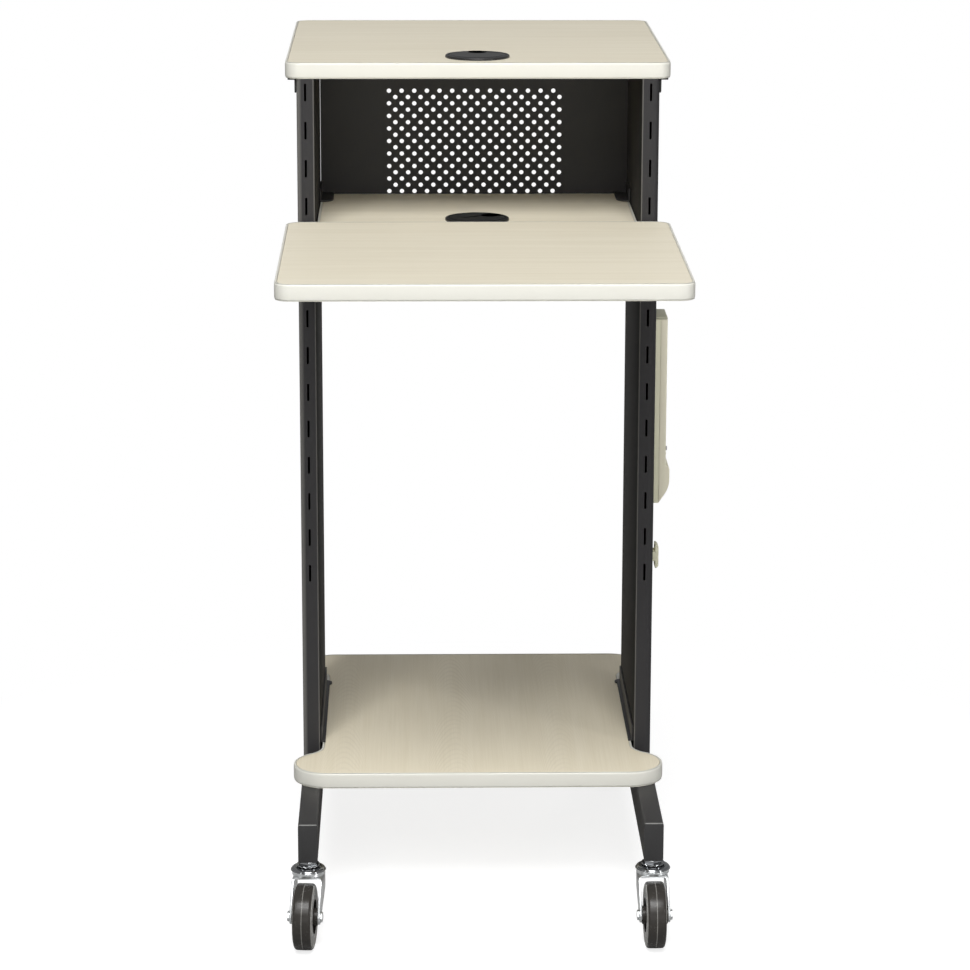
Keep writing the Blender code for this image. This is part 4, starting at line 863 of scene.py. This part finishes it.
choose(sheet, "FACE", is_flange)
bpy.ops.mesh.extrude_region_move(TRANSFORM_OT_translate={"value": (0, high.y - rear_y, 0)})
close()
holes = []
for row, shift in ((0, -HOLE_PITCH / 4), (1, HOLE_PITCH / 4)):
    hole = drum("hole", HOLE_RADIUS, low.y - HOLE_REACH, rear_y + HOLE_REACH, HOLE_SIDES, 1)
    first_x = (low.x + high.x) / 2 - (HOLE_COLUMNS - 1) / 2 * HOLE_PITCH + shift
    first_z = high.z - FIRST_HOLE_DROP - row * HOLE_PITCH / 2
    moved(hole, (first_x, 0, first_z))
    repeated(hole, HOLE_COLUMNS, (HOLE_PITCH, 0, 0))
    holes.append(repeated(hole, (HOLE_ROWS + 1 - row) // 2, (0, 0, -HOLE_PITCH)))
cut(sheet, join("holes", holes))
settle(sheet, "cart", coat_black, "back_panel")


# Middle shelf between the panels, of the same board with a hole for cables. Two steel rails
# under it carry it, and two clips hold its rear corners.
MIDDLE_CORNER = 0.006


def rounded_sheet(node, radius, steps):
    """A flat sheet with four round corners, at the top of the shelf's box."""
    low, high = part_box(node + "_edging")
    deselect()
    bpy.ops.mesh.primitive_plane_add(
        size=1, location=(low.x / 2 + high.x / 2, low.y / 2 + high.y / 2, high.z)
    )
    sheet = bpy.context.object
    sheet.scale = (high.x - low.x, high.y - low.y, 1)
    bpy.ops.object.transform_apply(location=True, rotation=False, scale=True)
    choose(sheet, "VERT", everything)
    bpy.ops.mesh.bevel(offset=radius, segments=steps, affect="VERTICES")
    close()
    return sheet


sheet = rounded_sheet("middle_shelf", MIDDLE_CORNER, 8)
shelf("middle", sheet, "middle_shelf", "cart", laminate_x, "middle_grommet_liner")
for side in ("left", "right"):
    for kind in ("rail", "clip"):
        coated_steel("middle_shelf_" + kind + "_" + side, side + "_middle_" + kind)


# Top shelf, of the same board with a second hole for cables, screwed down through the two
# steel angles outside the panels.
SHELF_CORNER = 0.018

sheet = rounded_sheet("top_shelf", SHELF_CORNER, 10)
shelf("top", sheet, "top_shelf", "cart", laminate_x, "top_grommet_liner")
for side in ("left", "right"):
    coated_steel("top_shelf_angle_" + side, side + "_top_angle")


# Cable grommets: a flanged black liner pressed into each hole, and a cap that turns in it,
# with a notch for the cables.
LINER_RADIUS = 0.0385
FLANGE_LOW = -0.0007
RIM_TOP = 0.003
# From the rim in to the seat and down the bore, each step as (inset, out).
LINER_STEPS = ((0.0020, 0), (0.0004, -0.0021), (0.0020, 0), (0, -0.0165))
CAP_RADIUS = 0.0341
CAP_LOW = 0.0012
CAP_FLAT = 0.0030
CAP_CROWN = 0.0004
NOTCH_WIDTH = 0.018
NOTCH_REACH = 0.022
CAP_TURNS_DEG = {"top": 90.0, "middle": 40.0}


def is_wide_flat(face):
    return abs(face.normal.z) > 0.999 and len(face.verts) > 20


def make_liner():
    """The flange with its rounded rim and the cap's seat, and the bore, open at both ends."""
    liner = drum("liner", LINER_RADIUS, FLANGE_LOW, RIM_TOP, 96)
    bevel(liner, lambda edge: middle(edge).z > RIM_TOP - 0.0001, 0.0013, 5)
    step_ends(liner, 2, LINER_STEPS, 1)
    choose(liner, "FACE", is_wide_flat)
    bpy.ops.mesh.delete(type="FACE")
    close()
    return liner


def make_cap():
    """A disc with a round-ended notch from its edge, its top raised a little inside the rim."""
    cap = drum("cap", CAP_RADIUS, CAP_LOW, CAP_FLAT, 96)
    bevel(cap, lambda edge: middle(edge).z > CAP_FLAT - 0.0002, 0.0004, 2)
    notch_middle = CAP_RADIUS - NOTCH_REACH + NOTCH_WIDTH / 2
    bar = block(
        "notch",
        (notch_middle, -NOTCH_WIDTH / 2, -CUT_REACH),
        (CAP_RADIUS + CUT_REACH, NOTCH_WIDTH / 2, CUT_REACH),
    )
    end = moved(drum("end", NOTCH_WIDTH / 2, -CUT_REACH, CUT_REACH, 48), (notch_middle, 0, 0))
    cut(cap, bar)
    cut(cap, end)
    choose(cap, "FACE", lambda face: is_wide_flat(face) and face.normal.z > 0)
    bpy.ops.mesh.inset(thickness=0.0016)
    bpy.ops.mesh.inset(thickness=0.0005, depth=CAP_CROWN)
    close()
    return cap


plug_black = moulded("black_plastic", (0.010, 0.010, 0.010), (0.017, 0.017, 0.018), 0.38)
liner_pattern = make_liner()
cap_pattern = make_cap()
for place, turn in CAP_TURNS_DEG.items():
    level = Matrix.Translation(Vector(joints[place + "_cap_turn"]["pos_m"]))
    turned = level @ Matrix.Rotation(math.radians(turn), 4, "Z")
    liner = copied(liner_pattern, place + "_liner", level)
    settle(liner, "cart", plug_black, place + "_grommet_liner")
    cap = copied(cap_pattern, place + "_cable_cap", turned)
    settle(cap, place + "_cap", plug_black, place + "_grommet_cap")
for pattern in (liner_pattern, cap_pattern):
    bpy.data.objects.remove(pattern, do_unlink=True)


# Keyboard shelf, which stands out in front of the panels on two hooked brackets of folded
# steel and can be hung one or more slots higher or lower.
sheet = rounded_sheet("keyboard_shelf", SHELF_CORNER, 10)
shelf("keyboard", sheet, "keyboard_shelf", "keyboard_unit", laminate_x)
for side in ("left", "right"):
    coated_steel("keyboard_bracket_" + side, side + "_bracket", "keyboard_unit")


# Power strip on the right panel: a tray and a cover of beige plastic, a grey end piece, a
# rocker switch, a reset button and the gland that its cord would leave through.
HOOD_SHOULDER = 0.020
HOOD_ROUND = 0.009

tray_beige = moulded("beige_plastic_tray", (0.760, 0.740, 0.540), (0.820, 0.800, 0.600), 0.42)
cover_beige = moulded("beige_plastic_cover", (0.800, 0.755, 0.585), (0.855, 0.810, 0.640), 0.40)
end_grey = moulded("grey_plastic", (0.400, 0.390, 0.285), (0.460, 0.450, 0.335), 0.45)
rocker_beige = moulded("rocker_plastic", (0.720, 0.700, 0.615), (0.780, 0.760, 0.675), 0.34)
button_grey = moulded("button_plastic", (0.150, 0.150, 0.145), (0.190, 0.190, 0.185), 0.40)
strip_low, strip_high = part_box("power_strip_cover")


def hood_shoulder(edge):
    """The long outer edge where the hood starts to draw in towards the strip's lower end."""
    spot = middle(edge)
    return (
        runs_along(edge, 1)
        and abs(spot.z - strip_low.z - HOOD_SHOULDER) < 0.0015
        and spot.x > strip_high.x - 0.0005
    )


strip = (
    ("power_strip_base", "strip_tray", "cart", "beige_plastic", tray_beige, 0.0006, ()),
    (
        "power_strip_cover", "strip_cover", "cart", "beige_plastic", cover_beige, 0.0006,
        [(hood_shoulder, HOOD_ROUND)],
    ),
    ("power_strip_end_cap", "strip_end", "cart", "grey_plastic", end_grey, 0.0008, ()),
    ("rocker_switch", "strip_rocker", "rocker", "grey_plastic", rocker_beige, 0.0004, ()),
    ("reset_button", "strip_button", "button", "black_plastic", button_grey, 0.0005, ()),
    ("cord_gland", "strip_gland", "cart", "grey_plastic", end_grey, 0.0003, ()),
)
for node, name, body, slot, finish, width, rounds in strip:
    settle(softened(node, name, width, 2, rounds), body, finish, node)


# Cord cleat under the strip: a beige moulding with two horns to wind the cord round, screwed
# to the right panel.
cleat = softened("cord_cleat", "cleat", 0.0014, 4)
settle(cleat, "cart", tray_beige, "cord_cleat")


# Floor and light: a white floor that keeps the cart's shadow, a white surround, and large
# soft lamps above, in front, at both sides and behind. The one behind isn't reflected.
FLOOR_SIZE = 40
SHADOW_INSIDE, SHADOW_OUTSIDE = 0.45, 0.95
SURROUND_DIFFUSE = 0.14
SURROUND_GLOSSY = 0.28
SURROUND_CAMERA = 1.0
LAMPS_AIM = Vector((0, 0.1, 0.5))


def white_floor():
    """White for the camera, with the cart's shadow near it, and a mid grey for other rays."""
    floor = Finish("studio_floor", 1.0)
    grey = floor.add("ShaderNodeBsdfDiffuse", {}, {"Color": (0.42, 0.42, 0.42, 1)})
    shaded = floor.add("ShaderNodeBsdfDiffuse", {}, {"Color": (0.40, 0.40, 0.40, 1)})
    glow = floor.add("ShaderNodeEmission", {}, {"Strength": 0.77})
    near = floor.add("ShaderNodeAddShader", {}, {0: shaded, 1: glow})
    far = floor.add("ShaderNodeEmission", {}, {})
    reach = floor.add("ShaderNodeVectorMath", {"operation": "LENGTH"}, {0: floor.place}, "Value")
    fade = floor.ramp(reach, SHADOW_INSIDE, SHADOW_OUTSIDE)
    white = floor.add("ShaderNodeMixShader", {}, {0: fade, 1: near, 2: far})
    seen = floor.add("ShaderNodeLightPath", {}, {}, "Is Camera Ray")
    face = floor.add("ShaderNodeMixShader", {}, {0: seen, 1: grey, 2: white})
    floor.feed(floor.material.node_tree.nodes["Material Output"].inputs["Surface"], face)
    return floor.material


deselect()
bpy.ops.mesh.primitive_plane_add(size=FLOOR_SIZE, location=(0, 0, 0))
floor = bpy.context.object
floor.name = "studio_floor"
floor.data.materials.append(white_floor())
floor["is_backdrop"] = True

world = bpy.data.worlds.new("studio")
bpy.context.scene.world = world
world.use_nodes = True
nodes, links = world.node_tree.nodes, world.node_tree.links
surround = nodes["Background"]
surround.inputs["Color"].default_value = (1, 1, 1, 1)
seen = nodes.new("ShaderNodeLightPath")
level = None
for ray, strength in (("Is Camera Ray", SURROUND_CAMERA), ("Is Glossy Ray", SURROUND_GLOSSY)):
    step = nodes.new("ShaderNodeMix")
    step.inputs["A"].default_value = SURROUND_DIFFUSE
    step.inputs["B"].default_value = strength
    links.new(seen.outputs[ray], step.inputs["Factor"])
    if level:
        links.new(level.outputs["Result"], step.inputs["A"])
    level = step
links.new(level.outputs["Result"], surround.inputs["Strength"])

lamps = (
    ("high", (-0.3, -3.0, 4.6), (2.8, 2.0), 218),
    ("far", (-0.8, -6.6, 5.6), (4.5, 3.0), 176),
    ("front", (0.3, -4.2, 0.9), (3.4, 1.4), 15),
    ("left_strip", (-3.0, -2.6, 1.2), (0.4, 2.6), 9),
    ("right_strip", (3.0, -2.6, 1.2), (0.4, 2.6), 26),
    ("rear", (0.6, 4.4, 1.0), (3.0, 1.4), 95),
)
for name, spot, size, power in lamps:
    light = bpy.data.lights.new(name, "AREA")
    light.shape = "RECTANGLE"
    light.size, light.size_y = size
    light.energy = power
    lamp = placed(light, name)
    lamp.location = spot
    lamp.rotation_euler = (LAMPS_AIM - Vector(spot)).to_track_quat("-Z", "Y").to_euler()
    lamp.visible_glossy = name != "rear"


# Camera at the photograph's place, a little above the top shelf and far off. Its place, turn
# and lens come from the fit to the photo's straight edges.
LENS_MM = 127.39
SENSOR_MM = 36
CAMERA_PLACE = (-0.086084, -4.06925, 1.506639)
CAMERA_PITCH = -0.2455
CAMERA_ROLL = -0.0023
CAMERA_HEADING = -0.02135

lens = bpy.data.cameras.new("view")
lens.lens = LENS_MM
lens.sensor_width = SENSOR_MM
camera = placed(lens, "view")
camera.location = CAMERA_PLACE
camera.rotation_euler = (math.pi / 2 + CAMERA_PITCH, CAMERA_ROLL, CAMERA_HEADING)
bpy.context.scene.camera = camera
bpy.context.scene.view_settings.view_transform = "Standard"

low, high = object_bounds()
